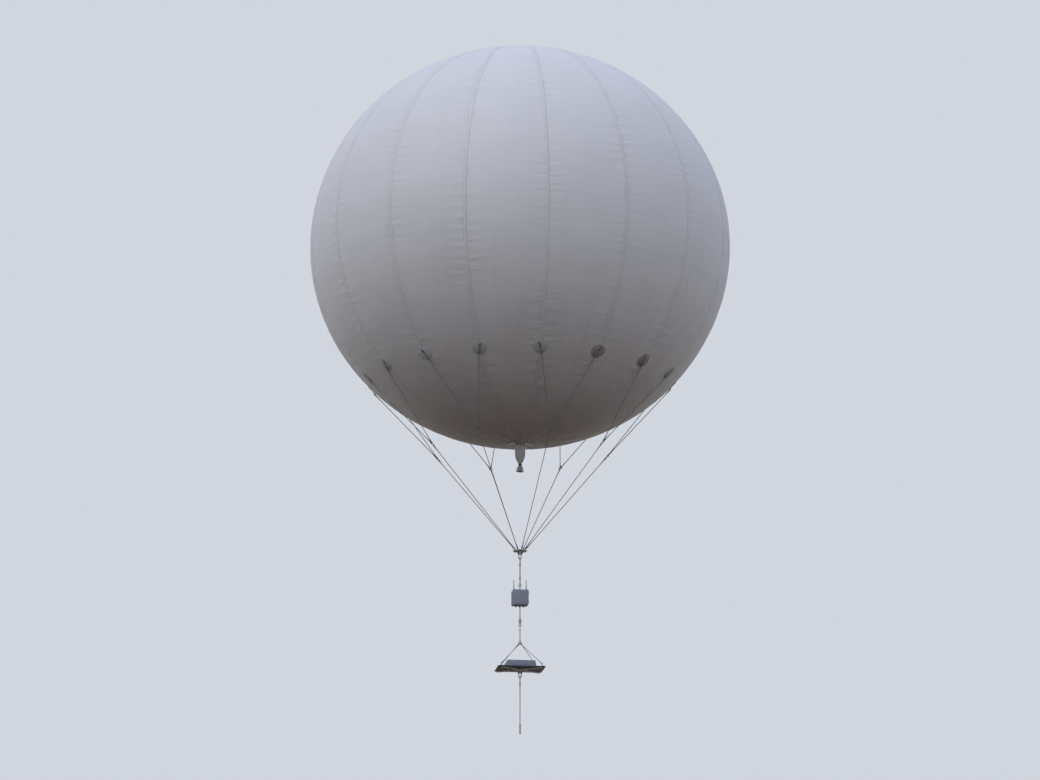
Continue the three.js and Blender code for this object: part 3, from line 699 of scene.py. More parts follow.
aluminium = Finish("anodised_aluminium", Metallic=1.0, Specular_IOR_Level=0.5)
haze = aluminium.noise(aluminium.where, 18.0, 5.0, 0.6)
ax, ay, az = aluminium.axes(aluminium.where)
brushed = aluminium.noise(aluminium.vector(ax * 40.0, ay * 40.0, az * 900.0), 1.0, 2.0)
tone = aluminium.mix(haze.ramp(0.35, 0.75), (0.56, 0.57, 0.585), (0.43, 0.435, 0.44))
aluminium.feed("Base Color", tone)
aluminium.feed("Roughness", haze.ramp(0.3, 0.8, 0.32, 0.5) + brushed * 0.06)
aluminium.relief((brushed, 0.00004), (haze, 0.0002))

steel = Finish("stainless_steel", Metallic=1.0)
stain = steel.noise(steel.where, 55.0, 5.0, 0.6)
blotch = steel.noise(steel.where, 12.0, 4.0)
tone = steel.mix(blotch.ramp(0.4, 0.75), (0.52, 0.525, 0.53), (0.33, 0.32, 0.31))
steel.feed("Base Color", tone)
steel.feed("Roughness", stain.ramp(0.3, 0.75, 0.24, 0.46))
steel.relief((stain, 0.00012), (steel.noise(steel.where, 600.0, 2.0), 0.00002))

mould = Mould()
plate, plug = FLANGE_RADIUS, FLANGE_RADIUS - 0.0356
plate_profile = [
    (0.0, FLANGE_LOW), (0.076, FLANGE_LOW), (0.078, FLANGE_LOW + 0.0015), (0.150, FLANGE_LOW + 0.0015),
    (0.152, FLANGE_LOW), (plate - 0.0018, FLANGE_LOW), (plate, FLANGE_LOW + 0.0018),
    (plate, FLANGE_LIP - 0.0015), (plate - 0.0015, FLANGE_LIP), (plug, FLANGE_LIP),
    (plug, FLANGE_HIGH - 0.001), (plug - 0.001, FLANGE_HIGH), (0.0, FLANGE_HIGH),
]
mould.turned(plate_profile, sides=128)
mould.fit("neck_plate", "balloon", "aluminium", aluminium, ["neck_flange"], sharp=30)


def bolt_head(head, height, washer):
    """A hexagon head on its washer, standing on the ground plane."""
    mould = Mould()
    mould.turned([(0, 0), (washer, 0), (washer, 0.22 * height), (0, 0.22 * height)], sides=24)
    hexagon = [
        (0, 0.1), (0.97, 0.1), (1.0, 0.3), (1.0, 1.05), (0.9, 1.22), (0.55, 1.22), (0.5, 1.16), (0, 1.16),
    ]
    mould.turned([(head * share, height * level) for share, level in hexagon], sides=6)
    return mould.mesh("bolt_head")


def studs(name, item, places, axes, body, finish):
    """Sets copies of one small part on points, each upright on its own axis or on the one given."""
    start = bpy.data.meshes.new(name)
    start.from_pydata([tuple(point) for point in places], [], [])
    facing = start.attributes.new("facing", "FLOAT_VECTOR", "POINT")
    axes = np.broadcast_to(np.array(axes, float), (len(places), 3))
    facing.data.foreach_set("vector", axes.ravel())
    model = place("stud", item)
    growth = Growth(name, {"stud": model, "finish": finish.material})
    axis = growth.node(
        "GeometryNodeInputNamedAttribute", {"data_type": "FLOAT_VECTOR"}, {"Name": "facing"}
    )
    upright = growth.node("FunctionNodeAlignRotationToVector", {"axis": "Z"}, {"Vector": axis})
    shape = growth.node("GeometryNodeObjectInfo", {}, {"Object": growth["stud"]}, "Geometry")
    points = growth.node("GeometryNodeMeshToPoints", {}, {0: growth["Start"]})
    copies = {"Points": points, "Instance": shape, "Rotation": upright}
    mesh = growth.grow(growth.node("GeometryNodeInstanceOnPoints", {}, copies), start)
    mesh.set_sharp_from_angle(angle=math.radians(40))
    bpy.data.objects.remove(model)
    settle(place(name, mesh), body)


def ring_of(radius, count, level, first=0.0, middle=(0, 0)):
    """Points on a level circle, with the first counted from the front."""
    turns = first + whole_turn(count)
    x, y = middle[0] + radius * np.sin(turns), middle[1] - radius * np.cos(turns)
    return np.column_stack((x, y, np.full(count, level)))


spots = ring_of(BOLTS["radius"], BOLTS["count"], FLANGE_LOW, math.pi / BOLTS["count"])
studs("neck_bolts", bolt_head(**BOLT), spots, (0, 0, -1), "balloon", steel)

SLEEVE_SHAPE = [
    (0.0, 1.0, 0.01), (0.05, 1.0, 0.015), (0.12, 1.03, 0.04), (0.24, 1.01, 0.07), (0.36, 0.97, 0.1),
    (0.48, 0.85, 0.15), (0.57, 0.67, 0.21), (0.64, 0.46, 0.26), (0.69, 0.29, 0.24), (0.72, 0.235, 0.17),
    (0.75, 0.235, 0.17), (0.78, 0.29, 0.24), (0.83, 0.44, 0.3), (0.89, 0.56, 0.32), (0.95, 0.6, 0.34),
    (1.0, 0.62, 0.36),
]
FOLDS = 11
SLEEVE_ROWS = 72
LINED_FROM = 56
SLEEVE_FABRIC = 0.0012
TIE = {"share": 0.735, "turns": 5, "radius": 0.0205}
CORD_RADIUS = 0.0025
sleeve_length = SLEEVE_HIGH - SLEEVE_LOW
turns = whole_turn(132)


def sleeve_ring(share, width, fold, inset):
    """Soft folds that run together into the tie, each with its own lean."""
    wave = np.cos(turns * FOLDS + 1.3 * np.sin(turns * 2 + share * 3))
    wave += 0.35 * np.cos(turns * 5 + share * 4)
    pinch = math.exp(-(((share - TIE["share"]) / 0.12) ** 2))
    wave += pinch * 0.35 * np.cos(turns * 23 + 6 * share)
    slack = 0.012 * np.cos(turns * 3 + share * 19) * math.sin(math.pi * min(1.0, share / 0.6))
    radius = SLEEVE_RADIUS * width * (1 + fold * wave * 0.8 + slack) - inset
    return np.column_stack((
        radius * np.cos(turns), radius * np.sin(turns),
        SLEEVE_HIGH - share * sleeve_length + 0.006 * fold * np.cos(turns * 3),
    ))


shape = np.array(SLEEVE_SHAPE)
shares = np.linspace(0, 1, SLEEVE_ROWS)
rows = np.column_stack([np.interp(shares, shape[:, 0], shape[:, column]) for column in range(3)])
for _ in range(3):
    rows[1:-1] = (rows[:-2] + 2 * rows[1:-1] + rows[2:]) / 4
lining = [sleeve_ring(*row, SLEEVE_FABRIC) for row in rows[:LINED_FROM:-1]]
mould = Mould()
mould.skin([sleeve_ring(*row, 0) for row in rows] + lining)
mould.fit("filling_sleeve", "balloon", "patch_fabric", patch_fabric, ["neck_sleeve"], sharp=60)

thread = Finish("polyester_thread", Specular_IOR_Level=0.4, Sheen_Weight=0.2)
twist = thread.noise(thread.where, 1500.0, 2.0)
thread.feed("Base Color", thread.mix(twist, (0.06, 0.06, 0.065), (0.11, 0.11, 0.115)))
thread.feed("Roughness", twist.ramp(0.2, 0.8, 0.55, 0.75))
thread.relief((twist, 0.0002))

tie_z = SLEEVE_HIGH - TIE["share"] * sleeve_length
wraps = np.linspace(0, TIE["turns"] * 2 * math.pi, TIE["turns"] * 32)
helix = np.column_stack((
    TIE["radius"] * np.cos(wraps), TIE["radius"] * np.sin(wraps),
    tie_z + (wraps / (2 * math.pi) - TIE["turns"] / 2) * 2 * CORD_RADIUS,
))
tail = [(0.021, 0.004, 0.006), (0.027, 0.0, 0.002), (0.03, -0.004, -0.012), (0.028, -0.007, -0.035)]
tail = np.array(tail) + (0, 0, tie_z)
turns = whole_turn(24)
knot = np.column_stack((
    0.0236 + 0.0035 * np.cos(turns), 0.0045 * np.sin(turns), tie_z + 0.004 + 0.003 * np.sin(2 * turns)
))
cord = circle(CORD_RADIUS, 10)
mould = Mould()
mould.swept(helix, cord, (1, 0, 0))
mould.swept(tail, cord, (0, 1, 0))
mould.swept(tail * [1, -1, 1], cord, (0, 1, 0))
mould.swept(knot, cord, (0, 0, 1), looped=True)
mould.fit("sleeve_tie", "balloon", "rope", thread)

CLAMP = {"low": -0.023, "high": -0.011, "inner": 0.0713, "outer": 0.0722}
band = [(CLAMP[face], CLAMP["low"]) for face in ("inner", "outer")]
band += [(CLAMP[face], CLAMP["high"]) for face in ("outer", "inner")]
mould = Mould()
mould.turned(band, (0, 0, SLEEVE_HIGH), sides=96, looped=True)
screw_z = SLEEVE_HIGH + (CLAMP["low"] + CLAMP["high"]) / 2
screw_y = -CLAMP["outer"] - 0.0043
mould.pin(0.0038, 0, 0.02, (-0.01, screw_y, screw_z), (1, 0, 0), 16)
screw_head = [(0, 0), (0.005, 0), (0.005, 0.005), (0.004, 0.006), (0, 0.006)]
mould.turned(screw_head, (0.01, screw_y, screw_z), (1, 0, 0), 6)
mould.fit("sleeve_clamp", "balloon", "steel", steel)

mould = Mould()
valve_x, valve_y = (VALVE_LOW.x + VALVE_HIGH.x) / 2, (VALVE_LOW.y + VALVE_HIGH.y) / 2
valve_radius = (VALVE_HIGH.x - VALVE_LOW.x) / 2
valve_profile = [
    (0, 0), (valve_radius - 0.001, 0), (valve_radius, 0.001), (valve_radius, 0.005),
    (valve_radius - 0.001, 0.006), (0.026, 0.0065), (0.025, 0.0085), (0.025, 0.014), (0.0235, 0.0145),
    (0.0235, 0.0165), (0.025, 0.017), (0.025, 0.0215), (0.0235, 0.022), (0.0235, 0.024), (0.025, 0.0245),
    (0.025, 0.038), (0.0275, 0.039), (0.0275, 0.0435), (0.026, 0.045), (0.0195, 0.046), (0.019, 0.048),
    (0.0178, 0.055), (0.0142, 0.0605), (0.0085, 0.0627), (0, 0.063),
]
mould.turned(valve_profile, (valve_x, valve_y, VALVE_HIGH.z), (0, 0, -1), 64)
mould.fit("gas_relief_valve", "balloon", "aluminium", aluminium, ["relief_valve"], sharp=30)
mould = Mould()
mould.turned([(0, 0), (0.0028, 0), (0.0028, 0.002), (0.0024, 0.0025), (0, 0.0025)], sides=16)
spots = ring_of(0.0287, 6, VALVE_HIGH.z - 0.0058, middle=(valve_x, valve_y))
studs("valve_screws", mould.mesh("valve_screw"), spots, (0, 0, -1), "balloon", steel)

# Load patches. On every seam, a round double patch carries a folded webbing strap with a welded
# steel D-ring. The straps lean in pairs towards the crow's foot that joins them.
PATCH_LATITUDE = math.radians(-43)
PATCH_LAYERS = [
    (0.0, 0.0048), (0.03, 0.0048), (0.06, 0.0047), (0.0775, 0.0046), (0.0795, 0.0036), (0.081, 0.0029),
    (0.1, 0.0028), (0.1085, 0.0026), (0.11, 0.0014), (0.11, -0.0006), (0.05, -0.0006), (0.0, -0.0006),
]
STRAP = {"half_width": 0.0125, "half_thickness": 0.0011, "lean": math.radians(18)}
D_RING = {"bar": 0.030, "crown": 0.060, "half_width": 0.017, "rod": 0.0035, "lift": (0.012, 0.020)}
STITCH = {"length": 0.0034, "spacing": 0.0045, "radius": 0.0006}
SEWN = {"boxes": ((-0.07, -0.042), (-0.036, -0.008)), "half_width": 0.0098, "lift": 0.0013}

PATCH_RING = RADIUS * math.cos(PATCH_LATITUDE)
SEAM_SCALE = math.hypot(RADIUS * math.sin(PATCH_LATITUDE), HALF_HEIGHT * math.cos(PATCH_LATITUDE))


def laid(points, seam, lean=0.0):
    """Lays a shape on the envelope about a patch. It is drawn along its strap, across it and up."""
    along, across, lift = np.moveaxis(np.asarray(points, float), -1, 0)
    down = along * math.cos(lean) - across * math.sin(lean)
    aside = along * math.sin(lean) + across * math.cos(lean)
    return skin_at(seam * GORE_TURN + aside / PATCH_RING, PATCH_LATITUDE - down / SEAM_SCALE, lift)


def strap_lean(seam):
    return -STRAP["lean"] if seam % 2 else STRAP["lean"]


def circled(mould, name, finish, nodes=(), sharp=40):
    """Copies a moulded piece from the first pair of seams to all the others."""
    growth = Growth(name, {"finish": finish.material})
    mesh = growth.grow(growth.around(growth["Start"], GORES // 2), mould.mesh(name, 180))
    mesh.set_sharp_from_angle(angle=math.radians(sharp))
    settle(place(name, mesh), "balloon", nodes)


def arc(middle, radius, first, last, steps):
    turns = np.radians(np.linspace(first, last, steps))
    return np.column_stack((middle[0] + radius * np.cos(turns), middle[1] + radius * np.sin(turns)))


def rounded(width, height, corner, steps=5):
    """The outline of a rectangle with round corners."""
    x, y = width / 2 - corner, height / 2 - corner
    centres = [(x, y), (-x, y), (-x, -y), (x, -y)]
    return np.concatenate([
        arc(centre, corner, 90 * quarter, 90 * quarter + 90, steps)
        for quarter, centre in enumerate(centres)
    ])


webbing = Finish("polyester_webbing", Sheen_Weight=0.15, Specular_IOR_Level=0.3)
web_noise = webbing.noise(webbing.where, 30.0, 5.0, 0.6)
wx, wy, wz = webbing.axes(webbing.where)
ribs = ((wx * 0.8 + wy * 0.8 + wz) * 2600.0).sine() * 0.5 + 0.5
tone = webbing.mix(web_noise.ramp(0.3, 0.75), (0.3, 0.305, 0.31), (0.21, 0.21, 0.215))
webbing.feed("Base Color", tone)
webbing.feed("Roughness", web_noise.ramp(0.3, 0.8, 0.65, 0.85))
webbing.relief((ribs, 0.0003), (web_noise, 0.0006))

bar_lift, crown_lift = D_RING["lift"]
strap_low = PATCH_LAYERS[0][1] + STRAP["half_thickness"]
strap_high = strap_low + 2 * STRAP["half_thickness"] + 0.0001
wrap = arc((D_RING["bar"], bar_lift), D_RING["rod"] + STRAP["half_thickness"], -90, 90, 9)
strap_path = np.concatenate((
    [(-0.086, strap_low), (-0.05, strap_low), (0.0, strap_low), (0.018, strap_low + 0.0004)],
    wrap,
    [(0.021, 0.0152), (0.012, 0.0115), (0.004, 0.0091)],
    [(-0.004, strap_high), (-0.04, strap_high), (-0.074, strap_high)],
))
strap_path = np.column_stack((strap_path[:, 0], np.zeros(len(strap_path)), strap_path[:, 1]))
strap_outline = rounded(2 * STRAP["half_width"], 2 * STRAP["half_thickness"], 0.0008, 2)
half = D_RING["half_width"]
bow_start = D_RING["crown"] - half
d_path = np.concatenate((
    [(D_RING["bar"], share * half) for share in (-0.75, -0.4, 0, 0.4, 0.75)],
    arc((D_RING["bar"] + 0.0035, half - 0.0035), 0.0035, 180, 90, 4),
    arc((bow_start, 0), half, 90, -90, 17),
    arc((D_RING["bar"] + 0.0035, 0.0035 - half), 0.0035, 270, 180, 4),
))
rise = (d_path[:, 0] - D_RING["bar"]) / (D_RING["crown"] - D_RING["bar"])
d_path = np.column_stack((d_path, bar_lift + rise * (crown_lift - bar_lift)))
strap_rings = carried(strap_path, strap_outline, (0, 1, 0))
d_rings = carried(d_path, circle(D_RING["rod"], 12), (0, 0, 1), looped=True)
patches, straps, dees = Mould(), Mould(), Mould()
for seam in (0, 1):
    lean = strap_lean(seam)
    patches.skin([laid(circle(radius, 72, lift), seam) for radius, lift in PATCH_LAYERS])
    straps.skin(laid(strap_rings, seam, lean))
    dees.skin(laid(d_rings, seam, lean), looped=True)
patch_nodes = ["load_patch_%02d" % (seam + 1) for seam in range(GORES)]
circled(patches, "load_patches", patch_fabric, patch_nodes)
circled(straps, "load_straps", webbing)
circled(dees, "load_d_rings", steel)

stitches = []
for low, high in SEWN["boxes"]:
    half = SEWN["half_width"]
    corners = np.array([(low, -half), (high, -half), (high, half), (low, half)])
    for start, end in ((0, 1), (1, 2), (2, 3), (3, 0), (0, 2), (1, 3)):
        run = corners[end] - corners[start]
        number = max(2, round(math.hypot(*run) / STITCH["spacing"]))
        spots = corners[start] + np.outer((np.arange(number) + 0.5) / number, run)
        stitches.append(np.stack((spots, spots + 0.01 * run), 1))
stitches = np.concatenate(stitches)
stitches = np.dstack((stitches, np.full(stitches.shape[:2], strap_high + SEWN["lift"])))
stitches = np.concatenate([laid(stitches, seam, strap_lean(seam)) for seam in range(GORES)])
spots, axes = stitches[:, 0], stitches[:, 1] - stitches[:, 0]
reach, thick = STITCH["length"] / 2, STITCH["radius"]
mould = Mould()
mould.turned([(0, -reach), (thick, -0.6 * reach), (thick, 0.6 * reach), (0, reach)], sides=6)
studs("load_stitches", mould.mesh("stitch"), spots, axes, "balloon", thread)

# Load lines. Each is a crow's foot of braided rope: two legs from a pair of D-rings to a round
# link, and one tail from there to the load ring. All ends are eye splices with whipped throats.
LINE_RADIUS = 0.005
LINE_SPLICE = 0.11
LINE_EYES = {"top": 0.0092, "link": 0.0095, "foot": 0.0085}
EYE_THROAT = 2.6
LINK = {"radius": 0.024, "rod": 0.004}
LINE_CIRCLE = 0.080
EYE_BOLT = {"radius": 0.010, "rod": 0.003, "height": 0.0165}
CROWS_FOOT_SHARE = 0.4
LOAD_RING_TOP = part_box("load_ring")[1].z

rope_fibre = Finish("braided_polyester", Specular_IOR_Level=0.3, Sheen_Weight=0.2)
fuzz = rope_fibre.noise(rope_fibre.where, 700.0, 3.0, 0.6)
wear = rope_fibre.noise(rope_fibre.where, 6.0, 5.0, 0.6)
turn_share, lay, _ = rope_fibre.axes(rope_fibre.node("ShaderNodeUVMap", {"uv_map": "lay"}))
one_way, other_way = turn_share * 6.0 + lay * 0.8, turn_share * 6.0 - lay * 0.8
over = ((one_way.floor() + other_way.floor()) * 0.5).fraction() * 2.0
first_strand = (one_way.fraction() * math.pi).sine()
second_strand = (other_way.fraction() * math.pi).sine()
first_over = over * first_strand * (0.6 + second_strand * 0.4)
strand = first_over + (1.0 - over) * second_strand * (0.6 + first_strand * 0.4)
tone = rope_fibre.mix(fuzz.ramp(0.3, 0.7), (0.25, 0.255, 0.27), (0.36, 0.365, 0.38))
# Where the strands sink between each other the colour darkens: painted shade in the braid's grooves.
tone = rope_fibre.mix(strand.ramp(0.0, 0.55, 0.55, 0.0), tone, (0.09, 0.09, 0.095))
rope_fibre.feed("Base Color", rope_fibre.mix(wear.ramp(0.45, 0.8) * 0.6, tone, (0.2, 0.19, 0.175)))
rope_fibre.feed("Roughness", fuzz.ramp(0.2, 0.8, 0.7, 0.9))
rope_fibre.relief((strand, 0.0007), (fuzz, 0.0003))


def hoop(centre, radius, right, up, steps):
    """Points round a circle about a centre, in the plane of two directions."""
    turns = whole_turn(steps)[:, None]
    return centre + radius * (np.cos(turns) * right + np.sin(turns) * up)


def braid(mould, path, radii, radius, side, looped=False, sides=8, step=0.0052, squeeze=1.0):
    """A braided rope, whose strands show as bumps that change places from ring to ring. Its lay is
    counted in radii of the plain rope."""
    path = np.vstack((path, path[:1])) if looped else np.asarray(path, float)
    radii = np.ones(len(path)) * radii
    length = np.concatenate(([0], np.linalg.norm(np.diff(path, axis=0), axis=1).cumsum()))
    count = 2 * max(2, round(length[-1] / (2 * step)))
    marks = np.linspace(0, length[-1], count + 1)[: count if looped else None]
    spots = np.column_stack([np.interp(marks, length, path[:, axis]) for axis in range(3)])
    strands = 1 + 0.035 * (-1.0) ** (np.arange(len(marks))[:, None] + np.arange(sides))
    size = np.interp(marks, length, radii)[:, None] * strands
    mould.swept(spots, circle(1, sides) * (squeeze, 1, 1), side, looped, size, marks / radius)


def teardrop(centre, towards, normal, radius, first=0.0):
    """An eye about a centre, drawn out towards the rope. First leaves its throat open."""
    across = np.cross(normal, towards)
    throat = EYE_THROAT * radius
    touch = math.degrees(math.acos(1 / EYE_THROAT))
    bend = arc((0, 0), radius, touch, 360 - touch, 21)
    shares = np.linspace(first, 0.9, 5)
    legs = np.column_stack((throat + (bend[0, 0] - throat) * shares, bend[0, 1] * shares))
    flat = np.concatenate((legs, bend, legs[::-1] * (1, -1)))
    return np.asarray(centre) + flat[:, :1] * towards + flat[:, 1:] * across


def whipping(mould, foot, axis, radius, turns=6, cord=0.0009):
    """Close turns of thin cord about a rope."""
    profile = [(0, 0)]
    for number in range(turns):
        low, proud = 2 * cord * number, radius + 0.8 * cord
        profile += [(radius, low), (proud, low + 0.5 * cord), (proud, low + 1.5 * cord)]
    profile += [(radius, 2 * cord * turns), (0, 2 * cord * turns)]
    mould.turned(profile, foot, axis, 12)


def spliced(mould, cords, ends, radius, splice, step=0.0052, eye_share=0.9, squeeze=1.0, sides=8):
    """A rope between two ends. Each is a centre, the normal of its eye and the eye's radius. A thimble
    squeezes the rope of its eye flatter."""
    (first, _, _), (last, _, _) = ends
    between = np.subtract(last, first)
    long, ahead = np.linalg.norm(between), unit(between)
    starts = []
    for (centre, normal, eye), towards in zip(ends, (ahead, -ahead)):
        starts.append(EYE_THROAT * eye - 0.6 * radius if eye else 0.0)
        if not eye:
            continue
        normal = unit(normal - towards * np.dot(normal, towards))
        eye_path = teardrop(centre, towards, normal, eye)
        braid(mould, eye_path, eye_share * radius, radius, normal, True, sides, step, squeeze)
        throat = np.asarray(centre) + towards * (starts[-1] + 0.3 * radius)
        whipping(cords, throat, towards, 1.62 * radius)
        whipping(cords, throat + towards * (splice - 0.004), towards, 1.04 * radius, 5)
    marks, widths = [starts[0]], [1.3 if ends[0][2] else 1.0]
    if ends[0][2]:
        marks, widths = marks + [starts[0] + 0.3 * radius, starts[0] + splice], widths + [1.6, 1.0]
    if ends[1][2]:
        marks += [long - starts[1] - splice, long - starts[1] - 0.3 * radius]
        widths += [1.0, 1.6]
    marks.append(long - starts[1])
    widths.append(1.3 if ends[1][2] else 1.0)
    path = np.asarray(first) + np.outer(marks, ahead)
    side = ends[0][1] if ends[0][2] else ends[1][1]
    braid(mould, path, np.multiply(widths, radius), radius, side, False, sides, step)


def at_azimuth(turn, radius, z):
    return np.array((radius * math.sin(turn), -radius * math.cos(turn), z))


pair_turn = GORE_TURN / 2
foot = at_azimuth(pair_turn, LINE_CIRCLE, LOAD_RING_TOP + EYE_BOLT["height"])
tops = [laid((D_RING["crown"], 0, crown_lift), seam, strap_lean(seam)) for seam in (0, 1)]
fork = np.add(*tops) / 2 * (1 - CROWS_FOOT_SHARE) + foot * CROWS_FOOT_SHARE
link_normal = unit(np.cross(tops[0] - fork, tops[1] - fork))
lines, cords, links = Mould(), Mould(), Mould()


def from_link(towards, far_end):
    """One rope from the link to its far end."""
    near_end = (fork + LINK["radius"] * towards, np.cross(link_normal, towards), LINE_EYES["link"])
    spliced(lines, cords, [near_end, far_end], LINE_RADIUS, LINE_SPLICE)


for seam, top in enumerate(tops):
    aside = laid((D_RING["crown"], 0.001, crown_lift), seam, strap_lean(seam)) - top
    from_link(unit(top - fork), (top, unit(aside), LINE_EYES["top"]))
towards = unit(foot - fork)
bolt_axis = np.array((math.cos(pair_turn), math.sin(pair_turn), 0.0))
bolt_bar = foot - EYE_BOLT["radius"] * towards
from_link(towards, (bolt_bar, np.cross(bolt_axis, towards), LINE_EYES["foot"]))
link_right = unit(np.cross(link_normal, (0, 0, 1)))
loop = hoop(fork, LINK["radius"], link_right, np.cross(link_right, link_normal), 32)
links.swept(loop, circle(LINK["rod"], 12), link_normal, looped=True)
line_nodes = ["load_line_%d" % (pair + 1) for pair in range(GORES // 2)]
circled(lines, "load_lines", rope_fibre, line_nodes, sharp=80)
circled(cords, "line_whippings", thread, sharp=80)
circled(links, "crows_foot_links", steel)

# Load ring. A turned aluminium plate gathers the lines on eight forged eye bolts. A lug below it
# takes the shackle's pin.
LOAD_RING_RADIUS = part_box("load_ring")[1].x
LOAD_RING_LOW = LOAD_RING_TOP - 0.014
LUG = {"half_thickness": 0.007, "half_width": 0.022, "drop": 0.034, "hole": 0.0085, "chamfer": 0.0015}


def lug(mould, face_z):
    """A pierced plate below a face, with its hole along X and its root 1 mm inside the face."""
    turns = whole_turn(48) + math.pi / 48
    along, up = np.cos(turns), np.sin(turns)
    flat_side = LUG["half_width"] / np.maximum(np.abs(along), 1e-6)
    flat_top = (LUG["drop"] + 0.001) / np.maximum(up, 1e-6)
    reach = np.where(up > 0, np.minimum(flat_side, flat_top), LUG["half_width"])
    edge, thick = LUG["chamfer"], LUG["half_thickness"]
    rings = [
        (thick - edge, 0, True), (thick, edge, True), (thick, -edge, False), (thick - edge, 0, False),
        (edge - thick, 0, False), (-thick, -edge, False), (-thick, edge, True), (edge - thick, 0, True),
    ]
    made = []
    for x, inset, outer in rings:
        radius = (reach if outer else LUG["hole"]) - inset
        made.append(np.column_stack((np.full(48, x), radius * along, face_z - LUG["drop"] + radius * up)))
    mould.skin(made, looped=True)


top, low, edge = LOAD_RING_TOP, LOAD_RING_LOW, LOAD_RING_RADIUS
ring_profile = [
    (0, low), (0.034, low), (0.036, low + 0.002), (0.062, low + 0.002), (0.064, low),
    (edge - 0.002, low), (edge, low + 0.002), (edge, top - 0.002), (edge - 0.002, top),
    (0.066, top), (0.064, top - 0.003), (0.026, top - 0.003), (0.024, top - 0.001),
    (0.012, top - 0.001), (0, top - 0.001),
]
mould = Mould()
mould.turned(ring_profile, sides=96)
lug(mould, low)
mould.fit("gathering_ring", "balloon", "aluminium", aluminium, ["load_ring"], sharp=30)

collar = [
    (0, 0), (0.0085, 0), (0.009, 0.0005), (0.009, 0.0022), (0.0075, 0.003), (0.0045, 0.0036),
    (0.0036, 0.0055), (0, 0.0055),
]
nut = [(0, 0.0012), (0.0078, 0.0012), (0.0082, 0.0018), (0.0082, 0.0062), (0.007, 0.0072), (0, 0.0072)]
shank_end = [(0, 0), (0.004, 0), (0.004, 0.0095), (0.003, 0.0105), (0, 0.0105)]
above, below = (at_azimuth(pair_turn, LINE_CIRCLE, z) for z in (top, low))
mould = Mould()
mould.turned(collar, above, sides=24)
loop = hoop(foot, EYE_BOLT["radius"], at_azimuth(pair_turn, 1, 0), np.array((0, 0, 1)), 32)
mould.swept(loop, circle(EYE_BOLT["rod"], 12), bolt_axis, looped=True)
mould.pin(0.0095, 0, 0.0015, below, (0, 0, -1), 24)
mould.turned(nut, below, (0, 0, -1), 6)
mould.turned(shank_end, below, (0, 0, -1), 16)
circled(mould, "load_ring_eye_bolts", steel)

# Shackles. Two alike bow shackles of forged stainless steel: one on the load ring's lug, one on the
# platform's. Each has a hexagon bolt with a castle nut and a split pin.
SHACKLE = {"half_gap": 0.020, "leg": 0.052, "rod": 0.007, "boss": 0.014, "pin": 0.008, "play": 0.0003}
SPLIT_PIN = {"inset": 0.0055, "reach": 0.0112, "radius": 0.0011, "loop": 0.0022, "wire": 0.0009}


def shackle(name, node, body, pin_z):
    """A bow hanging from its bolt, with bosses and thickened legs where the bolt goes through."""
    gap, leg, rod, boss = (SHACKLE[size] for size in ("half_gap", "leg", "rod", "boss"))
    legs = [(0, pin_z - leg * share) for share in (0, 0.15, 0.3, 0.6, 0.85)]
    bend = arc((0, pin_z - leg), gap, 180, 360, 25)
    flat = np.concatenate((np.subtract(legs, (gap, 0)), bend, np.add(legs[::-1], (gap, 0))))
    path = np.column_stack((flat[:, 0], np.zeros(len(flat)), flat[:, 1]))
    widths = [1.25 * rod, 1.22 * rod, 1.1 * rod]
    mould = Mould()
    sizes = widths + [rod] * (len(path) - 2 * len(widths)) + widths[::-1]
    mould.swept(path, circle(1, 20), (0, 1, 0), size=sizes)
    half_boss = [(0, rod), (boss - 0.002, rod), (boss, rod - 0.002)]
    boss_profile = [(radius, -level) for radius, level in half_boss] + half_boss[::-1]
    for side in (-1, 1):
        mould.turned(boss_profile, (side * gap, 0, pin_z), (1, 0, 0), 32)
    mould.pin(SHACKLE["pin"], 0, 2 * gap, (-gap, 0, pin_z), (1, 0, 0), 24)
    head = gap + rod + SHACKLE["play"]
    bolt = [(0, 0), (0.0122, 0), (0.0128, 0.0006), (0.0128, 0.0052), (0.0112, 0.0064), (0.0, 0.0064)]
    mould.turned(bolt, (head, 0, pin_z), (1, 0, 0), 6)
    castle_nut = [
        (0, 0), (0.0118, 0), (0.0124, 0.0006), (0.0124, 0.0036), (0.0108, 0.0042), (0.0098, 0.0044),
        (0.0098, 0.0064), (0.009, 0.0067), (0, 0.0067),
    ]
    mould.turned(castle_nut, (-head, 0, pin_z), (-1, 0, 0), 6)
    split_x, reach = -head - SPLIT_PIN["inset"], SPLIT_PIN["reach"]
    mould.pin(SPLIT_PIN["radius"], -reach, reach, (split_x, 0, pin_z), (0, 0.5, 0.87), 10)
    loop_middle = np.array((split_x, 0.0061, pin_z + 0.0105))
    loop = hoop(loop_middle, SPLIT_PIN["loop"], np.array((0, 1, 0)), np.array((0, 0, 1)), 14)
    mould.swept(loop, circle(SPLIT_PIN["wire"], 8), (1, 0, 0), looped=True)
    mould.fit(name, body, "steel", steel, [node], sharp=35)


shackle("bow_shackle_above", "upper_shackle", "shackle_above", LOAD_RING_LOW - LUG["drop"])

# Strop. A short braided rope joins the upper shackle to the load rod. Its ends are spliced about
# pressed steel thimbles, and whipped with thin cord.
THIMBLE_INNER = 0.017
THIMBLE_REACH = 0.027
THIMBLE_SHEET = 0.0012
IN_THIMBLE = {"eye_share": 0.86, "squeeze": 0.8, "sides": 12}


